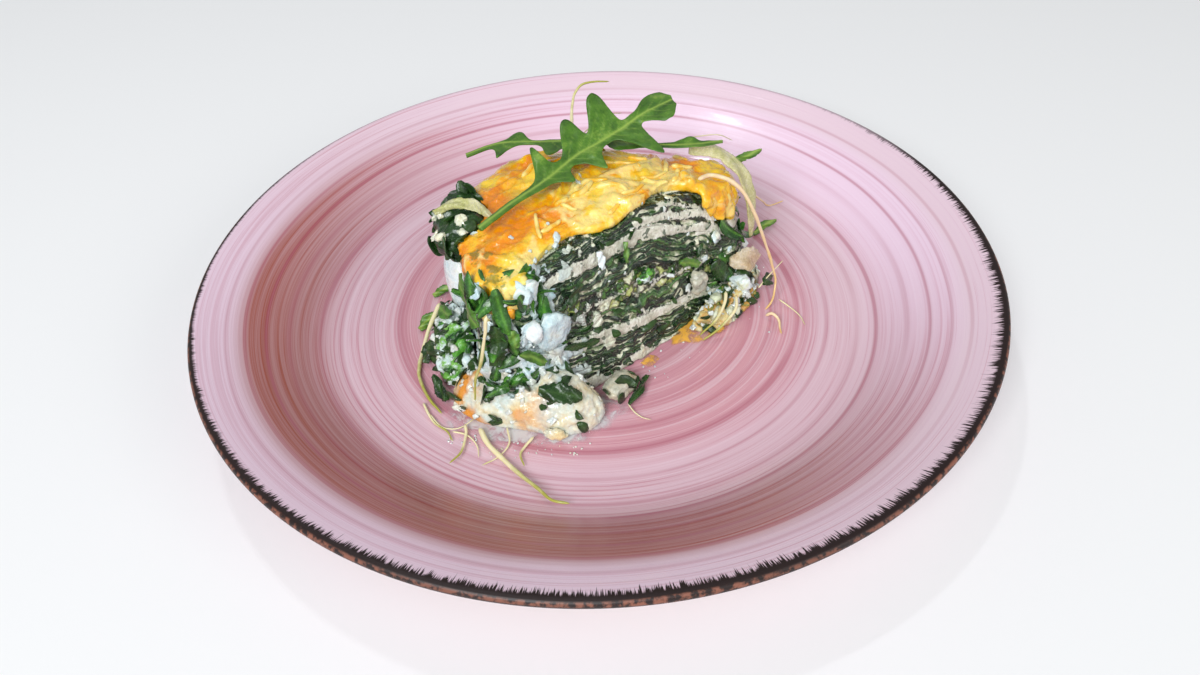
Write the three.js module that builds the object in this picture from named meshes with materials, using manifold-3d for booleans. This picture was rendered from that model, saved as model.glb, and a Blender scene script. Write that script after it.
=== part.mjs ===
// Plate of lasagna: a tall slice of spinach lasagna on a glazed dinner plate.
// Millimetres, +Z up, origin at the centre of the plate's foot, +Y away from the diner.
import * as THREE from 'three';
import { mergeVertices } from 'three/addons/utils/BufferGeometryUtils.js';
import Module from 'manifold-3d';

const wasm = await Module();
wasm.setup();

// Driving dimensions
const PLATE_RADIUS = 135;
const RIM_TOP = 28.4;
const WELL_TOP = 7;
const FOOT_INNER = 76;
const FOOT_OUTER = 83;
const WALL_MIDDLE = 11.8;
const PLATE_SIDES = 60;
const GAP = 0.3;
const CUT_GAP = 0.6;
const REST_Z = WELL_TOP + GAP;
const SLICE_TOP_REF = 52;
const RING_POINTS = 40;
const SKIRT_CLEARANCE = 1.35;
const TOPPING_THICKNESS = 3.6;
const SHRED_THICKNESS = 2.2;
const SHRED_SINK = 0.25;
const BULGE_LIMIT = 0.5;
const SHRED_COUNT = 12;
const SHRED_WEST = -27;

const COLOURS = {
  glaze: 0xc9a79f,
  pasta: 0xd9cfae,
  spinach: 0x35421c,
  filling: 0x9aa067,
  cheddar: 0xe0a848,
  ricotta: 0xe6e0cb,
  rocket: 0x5f8f2a,
  shoot: 0xb7c98a,
};

const plateOfLasagna = new THREE.Group();

// Small tools
const vec = (x, y, z) => new THREE.Vector3(x, y, z);
const lerp = THREE.MathUtils.lerp;
const clamp = THREE.MathUtils.clamp;
const smooth = THREE.MathUtils.smoothstep;

function randomFrom(seed) {
  let state = seed * 7919 + 17;
  return () => {
    state = (state * 16807) % 2147483647;
    return state / 2147483647;
  };
}

function ripple(x, y, z, seed) {
  const a = Math.sin(x * 0.31 + y * 0.17 + z * 0.23 + seed * 1.7);
  const b = Math.sin(x * -0.19 + y * 0.37 + z * 0.29 + seed * 2.9);
  const c = Math.sin(x * 0.43 - y * 0.41 + z * 0.37 + seed * 4.3);
  return (a + b + c) / 3;
}

function addPiece(name, geometry, colour, roughness) {
  const material = new THREE.MeshStandardMaterial({ color: colour, roughness, metalness: 0 });
  const mesh = new THREE.Mesh(geometry, material);
  mesh.name = name;
  plateOfLasagna.add(mesh);
  return mesh;
}

function positionsOnly(geometry) {
  geometry.deleteAttribute('normal');
  geometry.deleteAttribute('uv');
  return mergeVertices(geometry, 1e-4);
}

function geometryOf(points, triangles) {
  const geometry = new THREE.BufferGeometry();
  geometry.setAttribute('position', new THREE.Float32BufferAttribute(points.flatMap((p) => p.toArray()), 3));
  geometry.setIndex(triangles.flat());
  return geometry;
}

function facingOut(geometry) {
  const position = geometry.attributes.position;
  const index = geometry.index;
  const a = vec();
  const b = vec();
  const c = vec();
  let volume = 0;
  for (let i = 0; i < index.count; i += 3) {
    a.fromBufferAttribute(position, index.getX(i));
    b.fromBufferAttribute(position, index.getX(i + 1));
    c.fromBufferAttribute(position, index.getX(i + 2));
    volume += a.dot(b.cross(c));
  }
  if (volume < 0) {
    for (let i = 0; i < index.count; i += 3) {
      const first = index.getX(i);
      index.setX(i, index.getX(i + 2));
      index.setX(i + 2, first);
    }
  }
  return geometry;
}

// A closed solid through rings of equal count; the first and last rings close on a pole.
// Where turned(band, column) is true the diagonal is turned, so that facing surfaces split alike.
function solidFromRings(rings, turned = () => false) {
  const count = rings[0].length;
  const points = rings.flat();
  const triangles = [];
  const poleOf = (ring) => ring.reduce((sum, p) => sum.add(p), vec(0, 0, 0)).divideScalar(count);
  const firstPole = points.push(poleOf(rings[0])) - 1;
  const lastPole = points.push(poleOf(rings[rings.length - 1])) - 1;
  const lastRow = (rings.length - 1) * count;
  for (let i = 0; i < count; i += 1) {
    const next = (i + 1) % count;
    triangles.push([firstPole, next, i]);
    triangles.push([lastPole, lastRow + i, lastRow + next]);
  }
  for (let r = 0; r + 1 < rings.length; r += 1) {
    const low = r * count;
    const high = low + count;
    for (let i = 0; i < count; i += 1) {
      const next = (i + 1) % count;
      if (turned(r, i)) {
        triangles.push([low + i, low + next, high + i]);
        triangles.push([low + next, high + next, high + i]);
      } else {
        triangles.push([low + i, low + next, high + next]);
        triangles.push([low + i, high + next, high + i]);
      }
    }
  }
  return facingOut(geometryOf(points, triangles));
}

function toManifold(geometry) {
  const merged = positionsOnly(geometry.clone());
  return new wasm.Manifold(new wasm.Mesh({
    numProp: 3,
    vertProperties: Float32Array.from(merged.attributes.position.array),
    triVerts: Uint32Array.from(merged.index.array),
  }));
}

function fromManifold(solid) {
  const mesh = solid.getMesh();
  const geometry = new THREE.BufferGeometry();
  geometry.setAttribute('position', new THREE.BufferAttribute(Float32Array.from(mesh.vertProperties), 3));
  geometry.setIndex(new THREE.BufferAttribute(Uint32Array.from(mesh.triVerts), 1));
  return geometry;
}

function cutClear(geometry, neighbours) {
  let solid = toManifold(geometry);
  for (const neighbour of neighbours) {
    solid = solid.subtract(toManifold(neighbour));
  }
  return fromManifold(solid);
}

// Plate: coupe well, curved wall, flat lip with a rounded edge, and a foot ring
function plateGeometry() {
  const inner = new THREE.SplineCurve([
    new THREE.Vector2(70, WELL_TOP),
    new THREE.Vector2(84, WELL_TOP + 0.3),
    new THREE.Vector2(95.6, WELL_TOP + 2.6),
    new THREE.Vector2(108, WELL_TOP + 10),
    new THREE.Vector2(118, WELL_TOP + 15.6),
    new THREE.Vector2(127, WELL_TOP + 19.2),
    new THREE.Vector2(PLATE_RADIUS - 2, RIM_TOP),
  ]).getSpacedPoints(9);
  const outer = new THREE.SplineCurve([
    new THREE.Vector2(FOOT_OUTER + 2.5, 2.4),
    new THREE.Vector2(98, 4.2),
    new THREE.Vector2(112, WALL_MIDDLE),
    new THREE.Vector2(124, 18.6),
    new THREE.Vector2(PLATE_RADIUS - 0.8, RIM_TOP - 3),
  ]).getSpacedPoints(5);
  const profile = [
    new THREE.Vector2(0, 2),
    new THREE.Vector2(FOOT_INNER - 2, 2),
    new THREE.Vector2(FOOT_INNER, 0),
    new THREE.Vector2(FOOT_OUTER, 0),
    ...outer,
    new THREE.Vector2(PLATE_RADIUS, RIM_TOP - 1.6),
    new THREE.Vector2(PLATE_RADIUS - 0.7, RIM_TOP - 0.3),
    ...inner.reverse(),
    new THREE.Vector2(0, WELL_TOP),
  ];
  const turned = new THREE.LatheGeometry(profile, PLATE_SIDES);
  return facingOut(positionsOnly(turned.rotateX(Math.PI / 2)));
}

// Slice outline: a wedge with rounded corners, wider at the base than at the top
const BASE_CORNERS = [[-30, -66, 20], [58, 6, 10], [55, 29, 13], [-16, 38, 18], [-54, 8, 14]];
const TOP_CORNERS = [[-33, -54, 16], [46, 8, 9], [43, 20.5, 11], [-21, 22, 14], [-43, 2, 12]];

function roundedOutline(corners) {
  const shape = new THREE.Shape();
  corners.forEach(([x, y, round], i) => {
    const corner = new THREE.Vector2(x, y);
    const [px, py] = corners[(i + corners.length - 1) % corners.length];
    const [nx, ny] = corners[(i + 1) % corners.length];
    const before = new THREE.Vector2(px, py).sub(corner).setLength(round).add(corner);
    const after = new THREE.Vector2(nx, ny).sub(corner).setLength(round).add(corner);
    if (i === 0) {
      shape.moveTo(before.x, before.y);
    } else {
      shape.lineTo(before.x, before.y);
    }
    shape.quadraticCurveTo(x, y, after.x, after.y);
  });
  shape.closePath();
  return shape;
}

const baseOutline = roundedOutline(BASE_CORNERS);
const topOutline = roundedOutline(TOP_CORNERS);

// A point on the slice's side: t goes once round from the front corner, z up, off outward
function sidePoint(t, z, off = 0) {
  const turn = ((t % 1) + 1) % 1;
  const share = (z - WELL_TOP) / (SLICE_TOP_REF - WELL_TOP);
  const at = (u) => {
    const low = baseOutline.getPointAt(((u % 1) + 1) % 1);
    const high = topOutline.getPointAt(((u % 1) + 1) % 1);
    return new THREE.Vector2(lerp(low.x, high.x, share), lerp(low.y, high.y, share));
  };
  const here = at(turn);
  const along = at(turn + 0.004).sub(at(turn - 0.004)).normalize();
  const wobble = 0.8 * ripple(here.x, here.y, 0.1 * z, 5);
  const reach = off + wobble;
  return vec(here.x + along.y * reach, here.y - along.x * reach, z);
}

// Interface heights at three stations along the cut face, from the bottom up
const CUT_START = vec(-26, -64, 0);
const CUT_HEADING = THREE.MathUtils.degToRad(39.7);
const STATIONS = [30, 60, 90];
const INTERFACES = [
  [REST_Z, REST_Z, REST_Z],
  [12, 10.5, 9.5],
  [22.5, 17, 12.8],
  [26.5, 21, 16.4],
  [33, 29, 22.5],
  [38, 36, 27.5],
  [47, 46, 36.5],
  [51, 50.5, 41],
  [54, 56.5, 51],
];

function interfaceHeight(level, x, y) {
  const along = (x - CUT_START.x) * Math.cos(CUT_HEADING) + (y - CUT_START.y) * Math.sin(CUT_HEADING);
  const into = (y - CUT_START.y) * Math.cos(CUT_HEADING) - (x - CUT_START.x) * Math.sin(CUT_HEADING);
  const [low, middle, high] = INTERFACES[level];
  const first = along < STATIONS[1];
  const share = first
    ? clamp((along - STATIONS[0] + 12) / (STATIONS[1] - STATIONS[0] + 12), 0, 1)
    : clamp((along - STATIONS[1]) / (STATIONS[2] - STATIONS[1]), 0, 1.25);
  const ease = share * (first ? share * (1.5 - 0.5 * share) : 0.5 + 0.5 * share);
  const straight = first ? lerp(low, middle, ease) : lerp(middle, high, ease);
  if (level === 0) {
    return straight;
  }
  const wave = 0.75 * ripple(x, y, 0, level * 0.9);
  const droop = 0.09 * level * smooth(into, 38, 78) * 4;
  return straight + wave - droop;
}

function perimeterAt(level, lift, off = 0) {
  const ring = [];
  for (let i = 0; i < RING_POINTS; i += 1) {
    const t = i / RING_POINTS;
    let z = 30;
    for (let pass = 0; pass < 4; pass += 1) {
      const p = sidePoint(t, z, 0);
      z = interfaceHeight(level, p.x, p.y);
    }
    const p = sidePoint(t, z, off);
    ring.push(vec(p.x, p.y, z + lift));
  }
  return ring;
}

function insetRing(ring, share, level, lift) {
  const centre = ring.reduce((sum, p) => sum.add(p), vec(0, 0, 0)).divideScalar(ring.length);
  return ring.map((p) => {
    const x = lerp(centre.x, p.x, share);
    const y = lerp(centre.y, p.y, share);
    return vec(x, y, interfaceHeight(level, x, y) + lift);
  });
}

// One layer between two interfaces, its edge bulging or drawn in, and ragged
function layerGeometry(level, bulge, ragged, seed) {
  const half = GAP / 2;
  const low = perimeterAt(level, level === 0 ? 0 : half);
  const high = perimeterAt(level + 1, -half);
  const random = randomFrom(seed);
  const middle = low.map((p, i) => {
    const t = i / RING_POINTS;
    const z = (p.z + high[i].z) / 2 + 0.2 * (high[i].z - p.z) * (random() - 0.5);
    const off = clamp(bulge + ragged * (random() - 0.5), -2.2, BULGE_LIMIT);
    return sidePoint(t, z, off);
  });
  return solidFromRings([
    insetRing(low, 0.5, level, level === 0 ? 0 : half),
    low,
    middle,
    high,
    insetRing(high, 0.5, level + 1, -half),
  ], (band) => band === 3);
}

const LAYERS = [
  ['pasta_bottom', 'pasta', 0.2, 0.6],
  ['spinach_low', 'spinach', -0.5, 1.6],
  ['pasta_low', 'pasta', 0.3, 0.5],
  ['spinach_middle', 'spinach', -0.5, 1.6],
  ['vegetable_filling', 'filling', -0.7, 1.6],
  ['spinach_upper', 'spinach', -0.4, 1.6],
  ['pasta_high', 'pasta', 0.3, 0.5],
  ['spinach_top', 'spinach', -0.4, 1.4],
];

// The stack's envelope, grown outward, cuts whatever leans on the slice
function stackEnvelope(grow) {
  const rings = INTERFACES.map((_, level) => perimeterAt(level, level === 0 ? -grow : 0, BULGE_LIMIT + grow));
  const top = INTERFACES.length - 1;
  const lid = perimeterAt(top, grow, BULGE_LIMIT + grow);
  return solidFromRings([...rings, lid, insetRing(lid, 0.5, top, grow)]);
}

// Every vertex moved outward along its own normal
function grown(geometry, distance) {
  const copy = positionsOnly(geometry.clone());
  copy.computeVertexNormals();
  const position = copy.attributes.position;
  const normal = copy.attributes.normal;
  for (let i = 0; i < position.count; i += 1) {
    position.setXYZ(
      i,
      position.getX(i) + distance * normal.getX(i),
      position.getY(i) + distance * normal.getY(i),
      position.getZ(i) + distance * normal.getZ(i),
    );
  }
  return copy;
}

// A lump of food: a rounded block or ball with an uneven skin
function lumpGeometry({ at, radii, seed, detail = 2, square = 2, rough = 0.1, turn = 0, tip = 0 }) {
  const geometry = positionsOnly(new THREE.IcosahedronGeometry(1, detail));
  const position = geometry.attributes.position;
  const heading = new THREE.Euler(0, tip, turn, 'ZYX');
  for (let i = 0; i < position.count; i += 1) {
    const p = vec().fromBufferAttribute(position, i);
    const powers = p.toArray().reduce((sum, c) => sum + Math.abs(c) ** square, 0);
    const norm = powers ** (1 / square);
    const swell = (1 + rough * ripple(9 * p.x, 9 * p.y, 9 * p.z, seed)) / norm;
    p.multiplyScalar(swell).multiply(vec(...radii)).applyEuler(heading).add(vec(...at));
    p.z = Math.max(p.z, REST_Z);
    position.setXYZ(i, p.x, p.y, p.z);
  }
  return facingOut(geometry);
}

// A spill on the plate: a closed outline whose height climbs from the edge to a crest
const SPILL_STEPS = [[1, 0.14], [0.97, 0.3], [0.86, 0.5], [0.66, 0.78], [0.36, 0.97]];

function spillGeometry({ outline, crest, height, seed, count = 26 }) {
  const curve = new THREE.CatmullRomCurve3(outline.map(([x, y]) => vec(x, y, REST_Z)), true);
  const edge = curve.getSpacedPoints(count).slice(0, count);
  const foot = edge.map((p) => vec(lerp(crest[0], p.x, 0.985), lerp(crest[1], p.y, 0.985), REST_Z));
  const rows = SPILL_STEPS.map(([share, rise]) => edge.map((p) => {
    const x = lerp(crest[0], p.x, share);
    const y = lerp(crest[1], p.y, share);
    const bump = 1 + 0.16 * ripple(1.7 * x, 1.7 * y, 0, seed);
    return vec(x, y, REST_Z + height * rise * bump);
  }));
  return solidFromRings([foot, ...rows]);
}

// A thin wavy leaf or strip along a curve; both faces split alike
function leafGeometry({
  path, normal, left, right, steps = 10, across = 2, thickness = 0.55, sweep = [0, 0], lift = () => 0,
}) {
  const curve = new THREE.CatmullRomCurve3(path);
  const rings = [];
  for (let a = 0; a <= steps; a += 1) {
    const s = a / steps;
    const centre = curve.getPointAt(s);
    const ahead = curve.getTangentAt(s);
    const up = normal(s).clone();
    const side = vec().crossVectors(up, ahead).normalize();
    up.crossVectors(ahead, side).normalize();
    const row = [];
    for (let b = 0; b <= across; b += 1) {
      const w = 1 - (2 * b) / across;
      const reach = w > 0 ? w * left(s) : w * right(s);
      row.push(centre.clone()
        .addScaledVector(side, reach)
        .addScaledVector(ahead, (w > 0 ? sweep[0] : sweep[1]) * Math.abs(reach))
        .addScaledVector(up, lift(s, w, reach)));
    }
    const above = row.map((p) => p.clone().addScaledVector(up, thickness / 2));
    const below = row.map((p) => p.clone().addScaledVector(up, -thickness / 2)).reverse();
    rings.push([...above, ...below]);
  }
  return solidFromRings(rings, (band, column) => column > across);
}

// A leaf or strip lying on the slice's side, its path given as [t, z, off]
function sideStrip({ route, width, thickness = 0.6, wave = 0.35, steps = 6 }) {
  const path = route.map(([t, z, off]) => sidePoint(t, z, off));
  const outward = (s) => {
    const k = Math.min(Math.floor(s * (route.length - 1)), route.length - 2);
    const share = s * (route.length - 1) - k;
    const t = lerp(route[k][0], route[k + 1][0], share);
    return sidePoint(t, 30, 1).sub(sidePoint(t, 30, 0)).normalize();
  };
  const half = (s) => width * (0.22 + 0.78 * Math.sin(Math.PI * clamp(0.08 + 0.86 * s, 0, 1)) ** 0.6) / 2;
  const lift = (s, w) => wave * (1 + Math.sin(11 * s + 2 * w));
  return leafGeometry({ path, normal: outward, left: half, right: half, steps, thickness, lift });
}

// A shoot or stem: a thin tube along a smooth curve
function shootGeometry(points, radius, steps = 10, sides = 5) {
  const shape = new THREE.Shape(
    Array.from({ length: sides }, (_, i) => {
      const angle = (2 * Math.PI * i) / sides;
      return new THREE.Vector2(radius * Math.cos(angle), radius * Math.sin(angle));
    }),
  );
  const extrudePath = new THREE.CatmullRomCurve3(points.map((p) => vec(...p)));
  const tube = new THREE.ExtrudeGeometry(shape, { steps, bevelEnabled: false, extrudePath });
  return facingOut(positionsOnly(tube));
}

// Melted cheese over the top, with a skirt that runs down the sides in drips
function skirtDepth(t) {
  const front = 5.5 * Math.exp(-(((((t + 0.5) % 1) - 0.55) / 0.04) ** 2));
  const right = 6 * Math.exp(-(((t - 0.4) / 0.04) ** 2));
  const bare = smooth(t, 0.76, 0.82) * (1 - smooth(t, 0.97, 1));
  const face = smooth(t, 0.09, 0.12) * (1 - smooth(t, 0.31, 0.36));
  const ragged = 3.2 + 1.6 * Math.sin(t * 61) + 1.1 * Math.sin(t * 97 + 1);
  return (front + right + ragged * (1 - 0.75 * face)) * (1 - bare) + 0.6 * bare;
}

function toppingTop(x, y) {
  const top = INTERFACES.length - 1;
  return interfaceHeight(top, x, y) + TOPPING_THICKNESS + 0.9 * ripple(1.4 * x, 1.3 * y, 0, 11);
}

function toppingBlanket() {
  const top = INTERFACES.length - 1;
  const edge = perimeterAt(top, GAP / 2);
  const skirtRow = (depthShare, off) => edge.map((p, i) => {
    const t = i / RING_POINTS;
    return sidePoint(t, p.z - depthShare * Math.max(skirtDepth(t), 0.6), off);
  });
  const crest = (share) => edge.map((p) => {
    const centre = vec(-6, 0, 0);
    const x = lerp(centre.x, p.x, share);
    const y = lerp(centre.y, p.y, share);
    return vec(x, y, toppingTop(x, y) - 1.2 * smooth(share, 0.8, 1.05));
  });
  return solidFromRings([
    insetRing(edge, 0.5, top, GAP / 2),
    edge,
    skirtRow(0, SKIRT_CLEARANCE),
    skirtRow(0.97, SKIRT_CLEARANCE),
    skirtRow(1, SKIRT_CLEARANCE + 1.2),
    skirtRow(0.4, SKIRT_CLEARANCE + 2.2),
    skirtRow(-0.2, SKIRT_CLEARANCE + 1.6),
    crest(0.96),
    crest(0.72),
    crest(0.4),
  ]);
}

// Where the blanket stops short of the cut face: turn round the slice, distance back from the face
const BARE_EDGE = [
  [0.085, 0.5], [0.1, 1.5], [0.133, 5.5], [0.172, 5.8], [0.186, 3.2], [0.2, 1.8], [0.23, 1], [0.25, 1.4],
  [0.265, 2.2], [0.29, 5], [0.315, 5.8], [0.335, 4.6], [0.352, 1.6],
];
const BARE_REACH = 12;
const BARE_LOW = 40;
const BARE_HIGH = 80;

function bareFront() {
  const ring = (z) => [
    ...BARE_EDGE.map(([t]) => [t, BARE_REACH]),
    ...BARE_EDGE.map(([t, back]) => [t, -back]).reverse(),
  ].map(([t, off]) => {
    const p = sidePoint(t, SLICE_TOP_REF, off);
    return vec(p.x, p.y, z);
  });
  return solidFromRings([ring(BARE_LOW), ring(BARE_HIGH)]);
}

// Half-melted shreds of cheese fused to the blanket
function shredsOn(blanket) {
  let solid = toManifold(blanket);
  const random = randomFrom(41);
  for (let i = 0; i < SHRED_COUNT; i += 1) {
    const along = lerp(-0.9, 0.9, (i + random()) / SHRED_COUNT);
    const into = lerp(-0.75, 0.75, random());
    const x = Math.max(SHRED_WEST, -6 + 41.4 * along - 12 * into);
    const y = -10 + 26 * along + 20 * into;
    const long = lerp(6, 12, random());
    const wide = lerp(1.4, 2.2, random());
    const shred = new THREE.BoxGeometry(long, wide, SHRED_THICKNESS, 2, 1, 1);
    shred.rotateZ(CUT_HEADING + lerp(-1.2, 1.2, random()));
    shred.translate(x, y, 0);
    const position = shred.attributes.position;
    for (let k = 0; k < position.count; k += 1) {
      const z = position.getZ(k) + toppingTop(position.getX(k), position.getY(k)) - SHRED_SINK;
      position.setZ(k, z);
    }
    solid = solid.add(toManifold(shred));
  }
  return fromManifold(solid);
}

// The slice
addPiece('plate', plateGeometry(), COLOURS.glaze, 0.25);
LAYERS.forEach(([name, colour, bulge, ragged], level) => {
  addPiece(name, layerGeometry(level, bulge, ragged, level + 3), COLOURS[colour], 0.6);
});
const envelope = stackEnvelope(CUT_GAP);

const bunchLump = lumpGeometry({
  at: [-41.5, -11, 50.5], radii: [9.5, 14.5, 8.5], seed: 3, rough: 0.16, turn: 0.12,
});
const aroundBunch = grown(bunchLump, CUT_GAP);
addPiece('spinach_bunch_left', cutClear(bunchLump, [envelope]), COLOURS.spinach, 0.45);

const bareEdge = lumpGeometry({ at: [-51, -11, 51], radii: [9, 19, 10], seed: 3, rough: 0 });
const topping = cutClear(shredsOn(toppingBlanket()), [aroundBunch, bareEdge, bareFront()]);
addPiece('cheese_topping', topping, COLOURS.cheddar, 0.4);

// Pieces that lean on the left face and spill on the plate
const dollopLump = lumpGeometry({
  at: [-44.5, -7, 29], radii: [6.5, 12, 13.5], seed: 8, rough: 0.06, turn: 0.1,
});
addPiece('soft_cheese_left', cutClear(dollopLump, [envelope, aroundBunch]), COLOURS.ricotta, 0.35);

const leftHeap = spillGeometry({
  outline: [[-48, 3], [-53, -6], [-56, -19], [-54, -32], [-50, -40], [-40, -38], [-38, -20], [-40, -4]],
  crest: [-45, -21], height: 15, seed: 12,
});
const leftSpill = cutClear(leftHeap, [envelope, grown(dollopLump, CUT_GAP)]);
addPiece('spilled_filling_left', leftSpill, COLOURS.filling, 0.5);

const frontHeap = spillGeometry({
  outline: [[-47, -42], [-46.5, -50], [-38, -57], [-25, -61], [-11, -64], [-2, -61], [1, -53], [-8, -46],
    [-22, -44], [-36, -40]],
  crest: [-24, -47], height: 17, seed: 15, count: 30,
});
const frontSpill = cutClear(frontHeap, [envelope, grown(leftHeap, CUT_GAP)]);
addPiece('spilled_cheese_front', frontSpill, COLOURS.ricotta, 0.4);

const rightHeap = spillGeometry({
  outline: [
    [31, -18], [38, -20], [45, -17], [50, -12], [55, -5], [59, 5], [59, 14], [52, 16], [46, 2], [36, -8],
  ],
  crest: [49, -2],
  height: 8,
  seed: 21,
});
addPiece('spilled_spinach_right', cutClear(rightHeap, [envelope]), COLOURS.filling, 0.5);

// Cheese, onion and vegetable pieces on the cut face and in the spill
const CHUNKS = [
  ['cheese_block_front', 'ricotta', { t: 0.102, z: 37, off: 2.2 }, [6.5, 3, 7.2], 31, 4, 0.06],
  ['cheese_chunk_front', 'ricotta', { t: 0.078, z: 40, off: 3.2 }, [2.8, 2.6, 3.8], 32, 3, 0.1],
  ['filling_lump_middle', 'filling', { t: 0.242, z: 35, off: 1.6 }, [4.4, 1.9, 3], 35, 2, 0.12],
  ['cheese_lump_right', 'pasta', { t: 0.31, z: 23, off: 2 }, [3, 2.3, 4], 36, 3, 0.1],
];

const chunkSolids = [];
CHUNKS.forEach(([name, colour, place, radii, seed, square, rough]) => {
  const at = sidePoint(place.t, place.z, place.off);
  const out = sidePoint(place.t, place.z, 1).sub(sidePoint(place.t, place.z, 0));
  const turn = Math.atan2(out.y, out.x) + Math.PI / 2;
  const lump = lumpGeometry({ at: at.toArray(), radii, seed, square, rough, turn, detail: 1 });
  const near = chunkSolids.filter((other) => other.centre.distanceTo(at) < 14);
  const chunk = cutClear(lump, [envelope, grown(topping, CUT_GAP), ...near.map((other) => other.grown)]);
  chunkSolids.push({ centre: at, grown: grown(chunk, CUT_GAP) });
  addPiece(name, chunk, COLOURS[colour], 0.4);
});

const BASE_PIECES = [
  ['onion_piece_front', { at: [6, -45.5, 10], radii: [8, 4.2, 3], seed: 51, square: 2.6, turn: 0.85 }],
  ['cheese_lump_base', { at: [-15, -63, 9.6], radii: [4, 3.4, 2.6], seed: 52, square: 2.2, rough: 0.16 }],
  ['shell_leaf_right', { at: [50.5, -4, 16], radii: [4.4, 3.4, 3], seed: 55, square: 2.4 }],
];

BASE_PIECES.forEach(([name, shape]) => {
  const lump = lumpGeometry({ detail: 1, rough: 0.12, ...shape });
  const neighbours = [envelope, grown(frontHeap, CUT_GAP), grown(rightHeap, CUT_GAP)];
  addPiece(name, cutClear(lump, neighbours), COLOURS.ricotta, 0.4);
});

// Leaves, vegetable slices and strips that lie against the slice's side
const SIDE_STRIPS = [
  ['leaf_ribbon_front', 'rocket', [[0.008, 55, 4.2], [0.018, 49, 4], [0.031, 42, 4]], 7],
  ['spinach_leaf_corner', 'spinach', [[0.048, 45, 4.2], [0.047, 39, 3.4], [0.044, 32, 4.4]], 5.5],
  ['spinach_leaf_face', 'spinach', [[0.152, 45.5, 1.7], [0.141, 43, 1.6], [0.132, 38.5, 1.6]], 4],
  ['green_slice_corner', 'rocket', [[0.058, 43.5, 4], [0.06, 37, 3]], 3.4],
  ['green_slice_low', 'rocket', [[0.063, 34, 2], [0.075, 31.4, 2], [0.086, 28, 2.4]], 3.6],
  ['spinach_leaf_middle', 'spinach', [[0.114, 28, 1.8], [0.138, 25.5, 1.6], [0.158, 24.5, 1.8]], 2.8],
  ['spinach_leaf_right', 'spinach', [[0.338, 27, 1.8], [0.344, 22, 2.2], [0.348, 18.5, 2.6]], 6],
  ['cheese_shred_face', 'ricotta', [[0.187, 51.5, 1.6], [0.188, 45, 1.5]], 2.6],
  ['leaf_strip_face', 'shoot', [[0.225, 50.5, 1.7], [0.22, 43.5, 1.6]], 2],
  ['green_leaf_right', 'rocket', [[0.292, 34, 1.5], [0.308, 31, 1.5], [0.318, 29, 1.6]], 3.2],
];

SIDE_STRIPS.forEach(([name, colour, route, width]) => {
  addPiece(name, sideStrip({ route, width }), COLOURS[colour], 0.45);
});

// Free leaves, strips and pasta pieces, by the curve of their midrib
const upward = () => vec(0, 0, 1);
const even = (width) => (s) => (width / 2) * (0.25 + 0.75 * Math.sin(Math.PI * clamp(0.06 + 0.88 * s, 0, 1)));
const FREE_STRIPS = [
  ['pasta_curl_right', 'pasta', 8, 1, [0.75, -0.35, 0.55],
    [[33, 15, 58.5], [42, 16.5, 57], [50, 12, 51.5], [53.5, 8, 43], [54.5, 7, 34], [54.5, 8, 28]]],
  ['pasta_flap_right', 'pasta', 8, 1.2, [0.6, -0.6, 0.4], [[46.5, -2, 23.5], [53, 0.5, 22.5], [58, 7, 19.5]]],
  ['spinach_tip_right', 'spinach', 4.4, 0.6, [0.5, -0.5, 0.7],
    [[59, -2, 13.5], [61.5, 1.5, 12.5], [63, 5.5, 10.5]]],
  ['pasta_curl_left', 'pasta', 3.6, 0.9, [-0.2, -0.5, 0.8],
    [[-49.5, -13, 57.5], [-43, -13, 60.5], [-36, -15, 60.6], [-31, -21, 60.8]]],
  ['spinach_strip_front', 'spinach', 2.6, 0.7, [0.6, -0.5, 0.6],
    [[15, -41, 9.4], [12.5, -47, 9.6], [8.5, -53, 8.8]]],
  ['spinach_leaf_base', 'spinach', 6.4, 0.6, [0, -0.6, 0.8],
    [[-19, -58, 22.4], [-12, -59.5, 22], [-6, -59, 19.6]]],
  ['spinach_leaf_spill', 'spinach', 4, 0.6, [-0.5, -0.4, 0.8],
    [[-54.5, -39, 12], [-52, -43.5, 10], [-49.5, -48.5, 10]]],
  ['green_slice_left', 'rocket', 4.4, 0.7, [-0.6, -0.3, 0.7],
    [[-53, -14, 19.6], [-51.5, -19, 22], [-48.5, -24, 24.5]]],
  ['leaf_tip_high', 'rocket', 3.6, 0.6, [0, -0.3, 1], [[-59.5, 6, 8.2], [-56, 8, 9.2], [-52.4, 9.5, 9.8]]],
  ['leaf_tip_low', 'rocket', 4.4, 0.6, [0, -0.4, 1], [[-62.5, -12, 8.2], [-60, -9.5, 9.6], [-56.4, -7, 11.6]]],
  ['leaf_tip_dark', 'spinach', 5, 0.7, [-0.6, -0.4, 0.8],
    [[-58.5, -29.5, 8.6], [-57.5, -26.5, 11.4], [-55.5, -24, 14.8]]],
  ['leaf_tip_right', 'rocket', 3, 0.6, [0, -0.3, 1], [[61.5, 34, 8.2], [66, 38, 9], [71, 41, 9.2]]],
  ['rocket_stem_right', 'rocket', 3, 0.8, [0, -0.5, 1], [[49, 27, 46], [54, 30, 45], [61, 34, 45.5]]],
];

FREE_STRIPS.forEach(([name, colour, width, thickness, normal, points]) => {
  addPiece(name, leafGeometry({
    path: points.map((p) => vec(...p)),
    normal: () => vec(...normal),
    left: even(width),
    right: even(width),
    steps: 6,
    thickness,
    lift: (s, w) => 0.5 * Math.sin(9 * s + 3 * w),
  }), COLOURS[colour], 0.45);
});

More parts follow.
